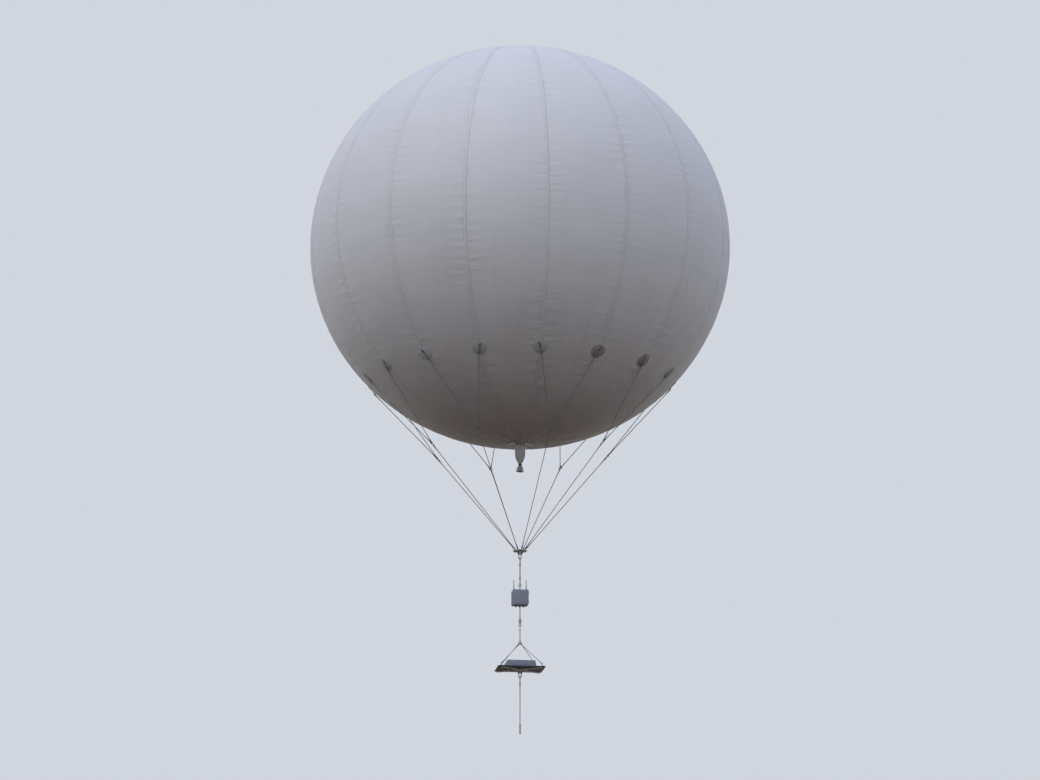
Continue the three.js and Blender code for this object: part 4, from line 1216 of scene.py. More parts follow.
def thimble(mould, centre, towards, normal, inner, rope_radius):
    """A sheet channel bent to a teardrop, open at its throat. It holds the rope of an eye."""
    held = IN_THIMBLE["eye_share"] * rope_radius
    middle = inner + THIMBLE_SHEET + held
    groove = held + 0.0002
    outside, inside = arc((0, 0), groove + THIMBLE_SHEET, 192, 348, 11), arc((0, 0), groove, 348, 192, 11)
    outline = np.concatenate((outside, inside)) * (IN_THIMBLE["squeeze"], 1)
    path = teardrop(centre, unit(towards), unit(normal), middle, first=0.42)
    mould.swept(path, outline, normal)
    return middle


def thimbled(name, node, inner, reach, radius, splice):
    """A rope with a thimble at each end, hanging in the plane across X. It rides on the body of its
    node's name, and each eye's centre lies a reach inside the node's end."""
    low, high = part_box(node)
    rope, cords, thimbles, ends = Mould(), Mould(), Mould(), []
    for z, towards in ((high.z - reach, (0, 0, -1)), (low.z + reach, (0, 0, 1))):
        eye = thimble(thimbles, (0, 0, z), towards, (1, 0, 0), inner, radius)
        ends.append(((0, 0, z), (1, 0, 0), eye))
    spliced(rope, cords, ends, radius, splice, step=0.0035, **IN_THIMBLE)
    rope.fit(name + "_rope", node, "rope", rope_fibre, [node], sharp=80)
    cords.fit(name + "_whippings", node, "rope", thread, sharp=80)
    thimbles.fit(name + "_thimbles", node, "steel", steel)


thimbled("strop", "strop", THIMBLE_INNER, THIMBLE_REACH, radius=0.007, splice=0.075)

# Load rod. A forged eye hangs on the strop. Its rod runs down through the control box, which two
# flanged nuts hold on cut threads.
EYE = {"radius": 0.018, "rod": 0.006}
ROD_RADIUS = 0.008
ROD_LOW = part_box("load_rod")[0].z
ROD_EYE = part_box("load_rod")[1].z - EYE["radius"] - EYE["rod"]
CASE_LOW, CASE_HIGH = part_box("control_box")
THREAD = {"pitch": 0.002, "depth": 0.0008, "reach": 0.03}
SEAT = 0.0003


def threaded(low, high):
    """The outline of a threaded length of rod."""
    outline = []
    for level in np.arange(low, high, THREAD["pitch"]):
        outline += [(ROD_RADIUS, level), (ROD_RADIUS - THREAD["depth"], level + THREAD["pitch"] / 2)]
    return outline


def eye_loop(mould, centre, sizes, plane=(0, 1, 0)):
    """A forged round eye about a point, in the plane across the direction given."""
    loop = hoop(centre, sizes["radius"], unit(np.cross(plane, (0, 0, 1))), np.array((0, 0, 1)), 48)
    mould.swept(loop, circle(sizes["rod"], 16), plane, looped=True)


def forged_neck(mould, seat, downwards):
    """The shank's end, which widens in the eye's plane and thins across it until the eye takes it in.
    The seat is where the eye's bar has its middle."""
    sections = [
        (0.0225, ROD_RADIUS, ROD_RADIUS), (0.016, 0.0083, 0.0081), (0.011, 0.0089, 0.0079),
        (0.0075, 0.0096, 0.0074), (0.005, 0.0105, 0.0068), (0.003, 0.0116, 0.0061), (0.001, 0.0118, 0.0052),
    ]
    mould.skin([
        circle(1, 40) * (wide, thick, 1) + (0, 0, seat + downwards * away) for away, wide, thick in sections
    ])


def flanged_nut(mould, z, axis):
    flange = [(0, 0), (0.0172, 0), (0.018, 0.0006), (0.0176, 0.0016), (0.0145, 0.0026), (0, 0.0026)]
    hexagon = [(0, 0.002), (0.0148, 0.002), (0.0148, 0.0068), (0.0132, 0.008), (0, 0.008)]
    mould.turned(flange, (0, 0, z), axis, 36)
    mould.turned(hexagon, (0, 0, z), axis, 6)


mould = Mould()
eye_loop(mould, (0, 0, ROD_EYE), EYE)
shank = ROD_EYE - EYE["radius"]
mould.turned(
    [(0, ROD_LOW), (ROD_RADIUS - 0.001, ROD_LOW)]
    + threaded(ROD_LOW + 0.001, ROD_LOW + 0.028)
    + [(ROD_RADIUS, ROD_LOW + 0.03)]
    + threaded(CASE_LOW.z - THREAD["reach"], CASE_LOW.z + 0.01)
    + [(ROD_RADIUS, CASE_LOW.z + 0.012), (ROD_RADIUS, CASE_HIGH.z - 0.012)]
    + threaded(CASE_HIGH.z - 0.01, CASE_HIGH.z + 0.025)
    + [(ROD_RADIUS, CASE_HIGH.z + 0.027), (ROD_RADIUS, shank - 0.022), (0, shank - 0.022)],
    sides=40,
)
forged_neck(mould, shank, -1)
flanged_nut(mould, CASE_HIGH.z + SEAT, (0, 0, 1))
flanged_nut(mould, CASE_LOW.z - SEAT, (0, 0, -1))
mould.fit("forged_load_rod", "control_unit", "steel", steel, ["load_rod"], sharp=35)

# Control box. A moulded plastic case with round corners hangs on the load rod, open to the front.
# It has cooling fins at the back, cable glands below and draw latches on its right side.
CASE_BACK = CASE_HIGH.y
CASE_FRONT = -0.0659
CASE_MIDDLE = (CASE_LOW.z + CASE_HIGH.z) / 2
CASE_WALL = 0.004
CASE = (2 * CASE_HIGH.x, CASE_HIGH.z - CASE_LOW.z, 0.015)
HINGE = {"x": -0.121, "y": -0.0662, "knuckle": 0.005, "length": 0.026, "gap": 0.0005}

casing = Finish("moulded_casing", Specular_IOR_Level=0.45)
cloud = casing.noise(casing.where, 9.0, 5.0, 0.6)
pits = casing.noise(casing.where, 900.0, 2.0)
chalk = casing.noise(casing.where, 40.0, 5.0, 0.7)
tone = casing.mix(cloud.ramp(0.35, 0.75), (0.3, 0.325, 0.385), (0.34, 0.36, 0.415))
casing.feed("Base Color", casing.mix(chalk.ramp(0.55, 0.8) * 0.35, tone, (0.44, 0.45, 0.465)))
casing.feed("Roughness", chalk.ramp(0.3, 0.8, 0.42, 0.66))
casing.relief((pits, 0.00025), (chalk, 0.0002))
rubber = Finish("black_rubber", Specular_IOR_Level=0.3)
rub = rubber.noise(rubber.where, 60.0, 5.0, 0.6)
rubber.feed("Base Color", rubber.mix(rub.ramp(0.35, 0.8), (0.02, 0.02, 0.022), (0.05, 0.05, 0.05)))
rubber.feed("Roughness", rub.ramp(0.3, 0.8, 0.6, 0.85))
rubber.relief((rub, 0.0004))


def boxed(mould, layers, foot, axis, steps=5, looped=False):
    """Rounded rectangles stacked along an axis: width, height, corner and level of each."""
    rings = [
        np.column_stack((rounded(width, height, corner, steps), np.full(4 * steps, level)))
        for width, height, corner, level in layers
    ]
    mould.skin(stood(rings, foot, axis), looped)


def stepped(outline, rows):
    """Layers of one width, height and corner. Each row says how much smaller the layer is, how much
    tighter its corners are, and its level."""
    width, height, corner = outline
    return [(width - less, height - less, corner - tighter, level) for less, tighter, level in rows]


def knuckle(mould, foot, axis):
    """The round part of a hinge that goes about its pin."""
    reach, radius = HINGE["length"] / 2, HINGE["knuckle"]
    half = [(0, reach), (radius - 0.0008, reach), (radius, reach - 0.0008)]
    mould.turned([(out, -level) for out, level in half] + half[::-1], foot, axis, 24)


def gland(mould, foot, axis):
    """A cable gland: a hexagon collar and a domed nut that closes on the cable."""
    collar = [(0, 0), (0.0125, 0), (0.0125, 0.004), (0.0115, 0.005), (0, 0.005)]
    dome = [
        (0, 0.004), (0.0095, 0.004), (0.0095, 0.013), (0.0085, 0.0155), (0.006, 0.018),
        (0.0035, 0.019), (0, 0.019),
    ]
    mould.turned(collar, foot, axis, 6)
    mould.turned(dome, foot, axis, 24)


depth = CASE_BACK - CASE_FRONT
case_rows = [
    (0.010, 0.005, 0), (0.003, 0.0015, 0.0015), (0, 0, 0.005), (0, 0, depth - 0.011),
    (0.002, 0.001, depth - 0.0105), (0.002, 0.001, depth - 0.0095), (0, 0, depth - 0.009),
    (0, 0, depth - 0.0006), (0.001, 0.0005, depth),
]
inner_rows = [
    (-0.001, -0.0005, depth), (0, 0, depth - 0.0006), (0.001, 0, CASE_WALL + 0.003),
    (0.006, 0.003, CASE_WALL),
]
inside = (CASE[0] - 2 * CASE_WALL, CASE[1] - 2 * CASE_WALL, CASE[2] - CASE_WALL)
layers = stepped(CASE, case_rows) + stepped(inside, inner_rows)
mould = Mould()
boxed(mould, layers, (0, CASE_BACK, CASE_MIDDLE), (0, -1, 0))
fin = [(0.0028, 0.16, 0.0012, 0), (0.0028, 0.16, 0.0012, 0.005), (0.0016, 0.154, 0.0007, 0.0075)]
for x in np.linspace(-0.078, 0.078, 9):
    boxed(mould, fin, (x, CASE_BACK - 0.0005, CASE_MIDDLE), (0, 1, 0), steps=2)
for side in (-1, 1):
    for y in (-0.02, 0.02, 0.055):
        foot = (side * (CASE_HIGH.x - 0.0005), y, CASE_MIDDLE)
        boxed(mould, [(0.006, 0.17, 0.0025, 0), (0.005, 0.168, 0.002, 0.0022)], foot, (side, 0, 0), steps=3)
for end in (-1, 1):
    foot = (HINGE["x"], HINGE["y"], CASE_MIDDLE + end * (HINGE["length"] + HINGE["gap"]))
    knuckle(mould, foot, (0, 0, 1))
    boxed(mould, [(0.003, 0.026, 0.001, 0), (0.003, 0.026, 0.001, 0.011)], foot, (0.6, 0.8, 0), steps=2)
mould.fit("box_case", "control_unit", "casing_plastic", casing, ["control_box"], sharp=35)

LATCH = {"offset": 0.062, "width": 0.022}
mould = Mould()
for end in (-1, 1):
    x, z, width = CASE_HIGH.x, CASE_MIDDLE + end * LATCH["offset"], LATCH["width"]
    base = [(0.030, width, 0.002, 0), (0.030, width, 0.002, 0.0016), (0.029, width - 0.001, 0.0015, 0.002)]
    boxed(mould, base, (x, -0.036, z), (1, 0, 0), steps=3)
    lever = [
        (0.024, 0.018, 0.004, 0.0018), (0.026, 0.019, 0.0045, 0.003), (0.026, 0.018, 0.004, 0.0052),
        (0.020, 0.014, 0.004, 0.0068),
    ]
    boxed(mould, lever, (x, -0.037, z), (1, 0, 0), steps=4)
    mould.pin(0.0022, -width / 2, width / 2, (x + 0.0036, -0.050, z), (0, 0, 1), 12)
    side = width / 2 - 0.0035
    half_bail = [(-0.050, side), (-0.0735, side), (-0.0755, side - 0.002)]
    bail = [(y, -rise) for y, rise in half_bail] + half_bail[::-1]
    mould.swept([(x + 0.0042, y, z + rise) for y, rise in bail], circle(0.0011, 8), (1, 0, 0))
mould.fit("box_latches", "control_unit", "steel", steel)

mould = Mould()
for x in (-0.052, 0.0, 0.052):
    gland(mould, (x, 0.045, CASE_LOW.z), (0, 0, -1))
vent = [(0, 0), (0.011, 0), (0.0115, 0.001), (0.0115, 0.004), (0.0095, 0.0052), (0.004, 0.0056), (0, 0.0056)]
mould.turned(vent, (0.052, 0.03, CASE_HIGH.z), (0, 0, 1), 32)
mould.fit("box_glands", "control_unit", "antenna_rubber", rubber)

# Batteries. Each is a pack of cells in dark shrink film, with a rubber strap round it and a rubber
# terminal block on top. Two stand inside the box, and one in the platform's housing.
battery_film = Finish("battery_film", Specular_IOR_Level=0.6)
film_noise = battery_film.noise(battery_film.where, 35.0, 4.0, 0.6)
battery_film.feed("Base Color", battery_film.mix(film_noise, (0.018, 0.02, 0.026), (0.032, 0.034, 0.042)))
battery_film.feed("Roughness", film_noise.ramp(0.3, 0.7, 0.22, 0.42))
battery_film.relief((film_noise, 0.0009))


def battery(name, node, body):
    """A pack that fills its node's box, with a shallow groove below its top."""
    low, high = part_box(node)
    wide, deep, tall = high - low
    x, y = (low.x + high.x) / 2, (low.y + high.y) / 2
    pack_rows = [
        (0.006, 0.003, 0), (0.0012, 0.0008, 0.0012), (0, 0, 0.004), (0, 0, tall - 0.012),
        (0.0016, 0.0008, tall - 0.0115), (0.0016, 0.0008, tall - 0.0035), (0.004, 0.002, tall - 0.0016),
        (0.008, 0.004, tall - 0.0014),
    ]
    strap_rows = [
        (0.002, 0.001, -0.011), (-0.0014, -0.0007, -0.0105), (-0.0014, -0.0007, 0.0105),
        (0.002, 0.001, 0.011),
    ]
    terminals = [(0.026, 0.014, 0.002, 0), (0.026, 0.014, 0.002, 0.007), (0.022, 0.010, 0.002, 0.009)]
    film, trim = Mould(), Mould()
    boxed(film, stepped((wide, deep, 0.006), pack_rows), (x, y, low.z), (0, 0, 1))
    boxed(trim, stepped((wide, deep, 0.006), strap_rows), (x, y, low.z + 0.45 * tall), (0, 0, 1))
    boxed(trim, terminals, (x, y, high.z - 0.003), (0, 0, 1), steps=3)
    film.fit(name, body, "battery", battery_film, [node], sharp=35)
    trim.fit(name + "_strap", body, "antenna_rubber", rubber, sharp=35)


battery("battery_pack_left", "battery_left", "control_unit")
battery("battery_pack_right", "battery_right", "control_unit")

# Aerials. Two whips of moulded black rubber, with ribbed necks that let them bend, are screwed by
# knurled steel collars into nuts on the box's top.
for name, node in (("whip_left", "antenna_left"), ("whip_right", "antenna_right")):
    low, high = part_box(node)
    foot, length = np.array(((low.x + high.x) / 2, (low.y + high.y) / 2, low.z)), high.z - low.z
    whip = [(0, 0.018), (0.0075, 0.018), (0.0078, 0.02), (0.0068, 0.03), (0.0052, 0.036)]
    for level in 0.038 + 0.0042 * np.arange(7):
        whip += [(0.0056, level), (0.0056, level + 0.0024), (0.0048, level + 0.003), (0.0048, level + 0.004)]
    whip += [(0.0045, 0.07), (0.0045, length - 0.004), (0.0036, length - 0.0012)]
    whip += [(0.0018, length - 0.0002), (0, length)]
    mould = Mould()
    mould.turned(whip, foot, (0, 0, 1), 20)
    mould.fit(name, "control_unit", "antenna_rubber", rubber, [node], sharp=35)
    knurled = [(0, 0.002), (0.0088, 0.002), (0.009, 0.003)]
    for level in 0.0045 + 0.0015 * np.arange(8):
        knurled += [(0.009, level), (0.0085, level + 0.00075)]
    knurled += [(0.009, 0.0175), (0.0082, 0.019), (0, 0.019)]
    mould = Mould()
    mould.pin(0.0112, 0, 0.003, foot - (0, 0, SEAT), (0, 0, 1), 6)
    mould.turned(knurled, foot, (0, 0, 1), 28)
    mould.fit(name + "_socket", "control_unit", "steel", steel, sharp=30)

# Box door. A moulded lid on a pin hinge, with a raised panel, a rubber seal in its rim and the
# hooks of the two latches.
DOOR_BACK = CASE_FRONT - 0.0006
depth = DOOR_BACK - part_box("control_box_door")[0].y
lid_rows = [
    (0.012, 0.006, 0.0004), (0.001, 0.0005, 0), (0, 0, 0.0008), (0, 0, depth - 0.0055),
    (0.0025, 0.001, depth - 0.0035), (0.007, 0.003, depth - 0.0026), (0.038, 0.006, depth - 0.0026),
    (0.044, 0.007, depth - 0.0003), (0.047, 0.008, depth),
]
leaf_foot = (HINGE["x"], HINGE["y"] - 0.0005, CASE_MIDDLE)
mould = Mould()
boxed(mould, stepped(CASE, lid_rows), (0, DOOR_BACK, CASE_MIDDLE), (0, -1, 0))
knuckle(mould, (HINGE["x"], HINGE["y"], CASE_MIDDLE), (0, 0, 1))
boxed(mould, [(0.003, 0.026, 0.001, 0), (0.003, 0.026, 0.001, 0.0105)], leaf_foot, (0.6, -0.8, 0), steps=2)
mould.fit("box_lid", "box_door", "casing_plastic", casing, ["control_box_door"], sharp=35)

hook_base = [(0.0075, 0.018, 0.0015, 0), (0.0075, 0.018, 0.0015, 0.002), (0.0062, 0.0165, 0.0012, 0.0024)]
hook = [(0.0016, 0.009, 0.0006, 0.002), (0.0016, 0.009, 0.0006, 0.0068), (0.001, 0.008, 0.0003, 0.0072)]
mould = Mould()
for end in (-1, 1):
    spot = np.array((CASE_HIGH.x - 0.0004, -0.0728, CASE_MIDDLE + end * LATCH["offset"]))
    boxed(mould, hook_base, spot, (1, 0, 0), steps=3)
    boxed(mould, hook, spot - (0, 0.001, 0), (1, 0, 0), steps=2)
mould.fit("lid_hooks", "box_door", "steel", steel)

seal = [(0.022, 0.007, -0.0003), (0.022, 0.007, -0.003), (0.012, 0.005, -0.003), (0.012, 0.005, -0.0003)]
mould = Mould()
boxed(mould, stepped(CASE, seal), (0, DOOR_BACK, CASE_MIDDLE), (0, -1, 0), steps=4, looped=True)
mould.fit("lid_seal", "box_door", "antenna_rubber", rubber)

# Swivel. A turned steel barrel is screwed on the load rod's foot. A forged shaft turns inside it on
# a collar, so that the platform can turn without twisting the ropes.
SWIVEL_LOW, SWIVEL_HIGH = (corner.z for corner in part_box("swivel_barrel"))
length = SWIVEL_HIGH - SWIVEL_LOW
barrel = [
    (0.0085, 0), (0.0185, 0), (0.020, 0.0015), (0.020, 0.009), (0.019, 0.0095), (0.019, 0.0125),
    (0.020, 0.013),
]
for level in 0.021 + 0.0026 * np.arange(7):
    barrel += [(0.020, level), (0.0194, level + 0.0005), (0.0194, level + 0.0015)]
barrel += [
    (0.020, 0.041), (0.020, 0.0465), (0.0182, 0.0492), (0.0135, 0.050), (0.012, 0.0515),
    (0.012, length - 0.001), (0.011, length), (0.004, length), (0.004, 0.044), (0.014, 0.044),
    (0.014, 0.006), (0.0085, 0.006),
]
mould = Mould()
mould.turned(barrel, (0, 0, SWIVEL_LOW), (0, 0, 1), 48, looped=True)
mould.fit("swivel_body", "control_unit", "steel", steel, ["swivel_barrel"], sharp=30)

SHAFT_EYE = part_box("swivel_shaft")[0].z + EYE["radius"] + EYE["rod"]
SHAFT_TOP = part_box("swivel_shaft")[1].z
neck = SHAFT_EYE + EYE["radius"]
shaft = [
    (0, neck + 0.020), (ROD_RADIUS, neck + 0.020), (ROD_RADIUS, SHAFT_TOP - 0.012),
    (0.0125, SHAFT_TOP - 0.012), (0.013, SHAFT_TOP - 0.0115), (0.013, SHAFT_TOP - 0.0005),
    (0.0125, SHAFT_TOP), (0, SHAFT_TOP),
]
mould = Mould()
eye_loop(mould, (0, 0, SHAFT_EYE), EYE)
mould.turned(shaft, sides=36)
forged_neck(mould, neck, 1)
mould.fit("swivel_spindle", "swivel_lower", "steel", steel, ["swivel_shaft"], sharp=35)

# Drop line. A lighter braided rope hangs the bridle's ring from the swivel's eye. Its ends are
# spliced about smaller steel thimbles, and whipped as the strop's are.
SMALL_THIMBLE = {"inner": 0.013, "reach": 0.023}
thimbled("drop", "drop_line", **SMALL_THIMBLE, radius=0.005, splice=0.040)

# Bridle. Four thin ropes hang from a welded steel ring and are spliced to the eyes of the posts at
# the platform's corners.
BRIDLE = {"radius": 0.020, "rod": 0.006, "rope": 0.004, "foot_x": 0.290, "foot_y": 0.200}
BRIDLE_EYES = {"ring": 0.0105, "post": 0.0085}
POST_EYE = {"radius": 0.012, "rod": 0.004}
WELD = [0.0058, 0.0064, 0.0066, 0.0064, 0.0058]
bridle_z = (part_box("bridle_ring")[0].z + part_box("bridle_ring")[1].z) / 2
post_eye_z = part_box("platform_frame")[1].z - POST_EYE["radius"] - POST_EYE["rod"]
mould = Mould()
eye_loop(mould, (0, 0, bridle_z), BRIDLE)
weld_path = [(x, 0, bridle_z + z) for x, z in arc((0, 0), BRIDLE["radius"], 86, 94, len(WELD))]
mould.swept(weld_path, circle(1, 16), (0, 1, 0), size=WELD)
mould.fit("bridle_link", "platform", "steel", steel, ["bridle_ring"])
for number, (side, front) in enumerate([(-1, -1), (1, -1), (1, 1), (-1, 1)], 1):
    turn = math.radians(28 if front < 0 else 52)
    aside, down = side * math.sin(turn), math.cos(turn)
    hang = (BRIDLE["radius"] * aside, 0, bridle_z - BRIDLE["radius"] * down)
    foot = (side * BRIDLE["foot_x"], front * BRIDLE["foot_y"], post_eye_z + POST_EYE["radius"])
    ends = [
        (hang, (side * down, 0, side * aside), BRIDLE_EYES["ring"]),
        (foot, (0, 1, 0), BRIDLE_EYES["post"]),
    ]
    rope, cords = Mould(), Mould()
    spliced(rope, cords, ends, BRIDLE["rope"], 0.055, step=0.0035)
    node = "bridle_leg_%d" % number
    rope.fit("bridle_rope_%d" % number, "platform", "rope", rope_fibre, [node], sharp=80)
    cords.fit("bridle_whipping_%d" % number, "platform", "rope", thread, sharp=80)

# Platform. Two crossed aluminium beams with black end caps carry a powder-coated plate. Posts with
# eyes stand at its corners, and the tether's lug hangs from the middle.
PLATE_LOW, PLATE_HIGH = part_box("platform_plate")
PLATE_CORNER = 0.040
CORNERS = [(side, front) for side in (-1, 1) for front in (-1, 1)]
BEAM = {"width": 0.036, "height": 0.016, "corner": 0.0025}
BEAM_TOP = PLATE_LOW.z - SEAT
BEAM_LOW = BEAM_TOP - BEAM["height"]
beam_reach = math.hypot(BRIDLE["foot_x"], BRIDLE["foot_y"]) + BEAM["width"] / 2
beam_turn = math.atan2(BRIDLE["foot_y"], BRIDLE["foot_x"])

coat = Finish("powder_coat", Specular_IOR_Level=0.45)
orange = coat.noise(coat.where, 420.0, 2.0)
dust = coat.noise(coat.where, 16.0, 6.0, 0.65)
scuff = coat.noise(coat.where, 90.0, 4.0, 0.7)
tone = coat.mix(dust.ramp(0.35, 0.75), (0.235, 0.26, 0.325), (0.27, 0.292, 0.35))
coat.feed("Base Color", coat.mix(scuff.ramp(0.62, 0.75) * 0.5, tone, (0.39, 0.4, 0.42)))
coat.feed("Roughness", dust.ramp(0.3, 0.8, 0.38, 0.6))
coat.relief((orange, 0.00018), (scuff.ramp(0.62, 0.75, 1.0, 0.0), 0.00006))

frame_parts, caps = Mould(), Mould()
for turn in (beam_turn, -beam_turn):
    axis = (math.cos(turn), math.sin(turn), 0)
    foot = (-beam_reach * axis[0], -beam_reach * axis[1], (BEAM_TOP + BEAM_LOW) / 2)
    size = (BEAM["width"], BEAM["height"], BEAM["corner"])
    boxed(frame_parts, [(*size, 0.003), (*size, 2 * beam_reach - 0.003)], foot, axis, steps=4)
    small = (BEAM["width"] - 0.001, BEAM["height"] - 0.001, BEAM["corner"])
    tiny = (BEAM["width"] - 0.004, BEAM["height"] - 0.004, BEAM["corner"] - 0.001)
    for start, end in ((0.0, 0.006), (2 * beam_reach, 2 * beam_reach - 0.006)):
        step = 0.001 if end > start else -0.001
        boxed(caps, [(*tiny, start), (*small, start + step), (*small, end)], foot, axis, steps=4)
lug(frame_parts, BEAM_LOW)
gusset = [(0.07, 0.06, 0.006, 0), (0.07, 0.06, 0.006, 0.003), (0.067, 0.057, 0.005, 0.004)]
boxed(frame_parts, gusset, (0, 0, BEAM_LOW), (0, 0, -1))
seat = post_eye_z - POST_EYE["radius"]
post = [
    (0, BEAM_TOP), (0.006, BEAM_TOP), (0.006, seat - 0.003), (0.0072, seat), (0.004, seat + 0.003),
    (0, seat + 0.003),
]
for side, front in CORNERS:
    x, y = side * BRIDLE["foot_x"], front * BRIDLE["foot_y"]
    frame_parts.turned(post, (x, y, 0), (0, 0, 1), 20)
    eye_loop(frame_parts, (x, y, post_eye_z), POST_EYE, (1, 0, 0))
frame_parts.fit("platform_beams", "platform", "aluminium", aluminium, ["platform_frame"], sharp=35)
caps.fit("beam_caps", "platform", "antenna_rubber", rubber, sharp=35)

thick = PLATE_HIGH.z - PLATE_LOW.z
deck_rows = [
    (0.003, 0.0015, 0), (0.0008, 0.0004, 0.0005), (0, 0, 0.0015), (0, 0, thick - 0.0015),
    (0.0008, 0.0004, thick - 0.0005), (0.003, 0.0015, thick),
]
deck = stepped((PLATE_HIGH.x * 2, PLATE_HIGH.y * 2, PLATE_CORNER), deck_rows)
mould = Mould()
boxed(mould, deck, (0, 0, PLATE_LOW.z), (0, 0, 1), steps=12)
mould.fit("platform_deck", "platform", "platform_paint", coat, ["platform_plate"], sharp=50)

washer = [(0.0062, 0), (0.015, 0), (0.015, 0.0012), (0.0062, 0.0012)]
nut = [
    (0.0062, 0.0012), (0.0108, 0.0012), (0.0114, 0.0018), (0.0114, 0.0052), (0.0102, 0.006), (0.0062, 0.006)
]
mould = Mould()
for side, front in CORNERS:
    spot = (side * BRIDLE["foot_x"], front * BRIDLE["foot_y"], PLATE_HIGH.z)
    mould.turned(washer, spot, (0, 0, 1), 28, looped=True)
    mould.turned(nut, spot, (0, 0, 1), 6, looped=True)
mould.fit("post_nuts", "platform", "steel", steel, sharp=30)

BEAM_BOLT = {"head": 0.0055, "height": 0.004, "washer": 0.0078}
BEAM_BOLTS = (0.09, 0.16, 0.225, 0.30)
spots = [
    (side * reach * math.cos(beam_turn), front * reach * math.sin(beam_turn), level)
    for reach in BEAM_BOLTS for side, front in CORNERS for level in (BEAM_LOW, PLATE_HIGH.z)
    if level == BEAM_LOW or reach == BEAM_BOLTS[-1]
]
axes = [(0, 0, 1 if z > BEAM_LOW else -1) for _, _, z in spots]
studs("beam_bolts", bolt_head(**BEAM_BOLT), spots, axes, "platform", steel)

# Instrument housing. A bent sheet cover with sloping ends and a wide hatch opening stands on the
# deck, held by a screwed foot flange. Louvres let warm air out at both ends.
COVER_LOW, COVER_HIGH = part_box("instrument_housing")
COVER = {"low_width": 0.440, "high_width": 0.400, "depth": 0.320, "wall": 0.004, "corner": 0.014}
HATCH_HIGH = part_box("instrument_hatch")[1]
HATCH_HEIGHT = 0.072
OPENING = {"width": 0.276, "height": 0.054, "corner": 0.008}
cover_height = COVER_HIGH.z - COVER_LOW.z
hatch_middle = HATCH_HIGH.z - HATCH_HEIGHT / 2
cover_front = -COVER["depth"] / 2


def cover_layer(level, inset=0.0):
    """The cover's outline at a height above the deck, drawn in by an inset."""
    width = COVER["low_width"] + (COVER["high_width"] - COVER["low_width"]) * level / cover_height
    return (width - 2 * inset, COVER["depth"] - 2 * inset, max(0.002, COVER["corner"] - inset), level)


def cut(mesh, cutter):
    """Takes a closed cutter out of a mesh."""
    target, tool = place("target", mesh), place("tool", cutter)
    knife = target.modifiers.new("cut", "BOOLEAN")
    knife.object, knife.operation, knife.solver = tool, "DIFFERENCE", "EXACT"
    evaluated = target.evaluated_get(bpy.context.evaluated_depsgraph_get())
    made = bpy.data.meshes.new_from_object(evaluated)
    bpy.data.objects.remove(target)
    bpy.data.objects.remove(tool)
    return made


wall, tall = COVER["wall"], cover_height
layers = [
    cover_layer(tall - wall, wall + 0.004), cover_layer(tall - wall - 0.004, wall), cover_layer(0, wall),
    cover_layer(0), cover_layer(tall - 0.006), cover_layer(tall - 0.0035, 0.0008),
    cover_layer(tall - 0.0012, 0.0028), cover_layer(tall, 0.006),
]
cover, opening = Mould(), Mould()
boxed(cover, layers, (0, 0, COVER_LOW.z), (0, 0, 1), steps=6)
hole = [(*OPENING.values(), -0.01), (*OPENING.values(), 0.01)]
boxed(opening, hole, (0, cover_front, hatch_middle), (0, -1, 0), steps=6)
cover_mesh = cut(cover.mesh("cover", 180), opening.mesh("opening", 180))
cover_mesh.set_sharp_from_angle(angle=math.radians(35))
cover = place("instrument_cover", cover_mesh, coat.material)
settle(cover, "platform", ["instrument_housing"])

FLANGE = {"reach": 0.014, "thickness": 0.0025}
width, depth, thick = COVER["low_width"], COVER["depth"], FLANGE["thickness"]
outer = (width + 2 * FLANGE["reach"], depth + 2 * FLANGE["reach"], COVER["corner"] + FLANGE["reach"])
inner = (width - 0.002, depth - 0.002, COVER["corner"] - 0.001)
edge = stepped(outer, [(0, 0, 0), (0, 0, thick - 0.0005), (0.001, 0, thick)])
layers = [(*inner, 0), *edge, (*inner, thick)]
mould = Mould()
boxed(mould, layers, (0, 0, PLATE_HIGH.z), (0, 0, 1), steps=8, looped=True)
hinge_leaf = [(0.026, 0.003, 0.001, 0), (0.026, 0.003, 0.001, 0.007)]
hinge_y, hinge_z = cover_front - 0.006, hatch_middle - 0.0416
for side in (-1, 1):
    foot = (side * (HINGE["length"] + HINGE["gap"]), hinge_y, hinge_z)
    knuckle(mould, foot, (1, 0, 0))
    boxed(mould, hinge_leaf, foot, (0, 1, 0), steps=2)
mould.fit("cover_flange", "platform", "platform_paint", coat, sharp=35)

SCREW = {"radius": 0.0034, "height": 0.0026, "beside": 0.0075}
screw_head = [(0, 0), (1, 0), (1, 0.35), (0.86, 0.8), (0.6, 1), (0.42, 1), (0.4, 0.4), (0, 0.4)]
mould = Mould()
mould.turned([(SCREW["radius"] * share, SCREW["height"] * level) for share, level in screw_head], sides=14)
half_x, half_y, z = width / 2 + SCREW["beside"], depth / 2 + SCREW["beside"], PLATE_HIGH.z + thick
spots = [
    (x, side * half_y, z) for side in (-1, 1) for x in np.linspace(-0.2, 0.2, 7) if side > 0 or abs(x) > 0.05
]
spots += [(side * half_x, y, z) for side in (-1, 1) for y in np.linspace(-0.13, 0.13, 5)]
studs("flange_screws", mould.mesh("flange_screw"), spots, (0, 0, 1), "platform", steel)

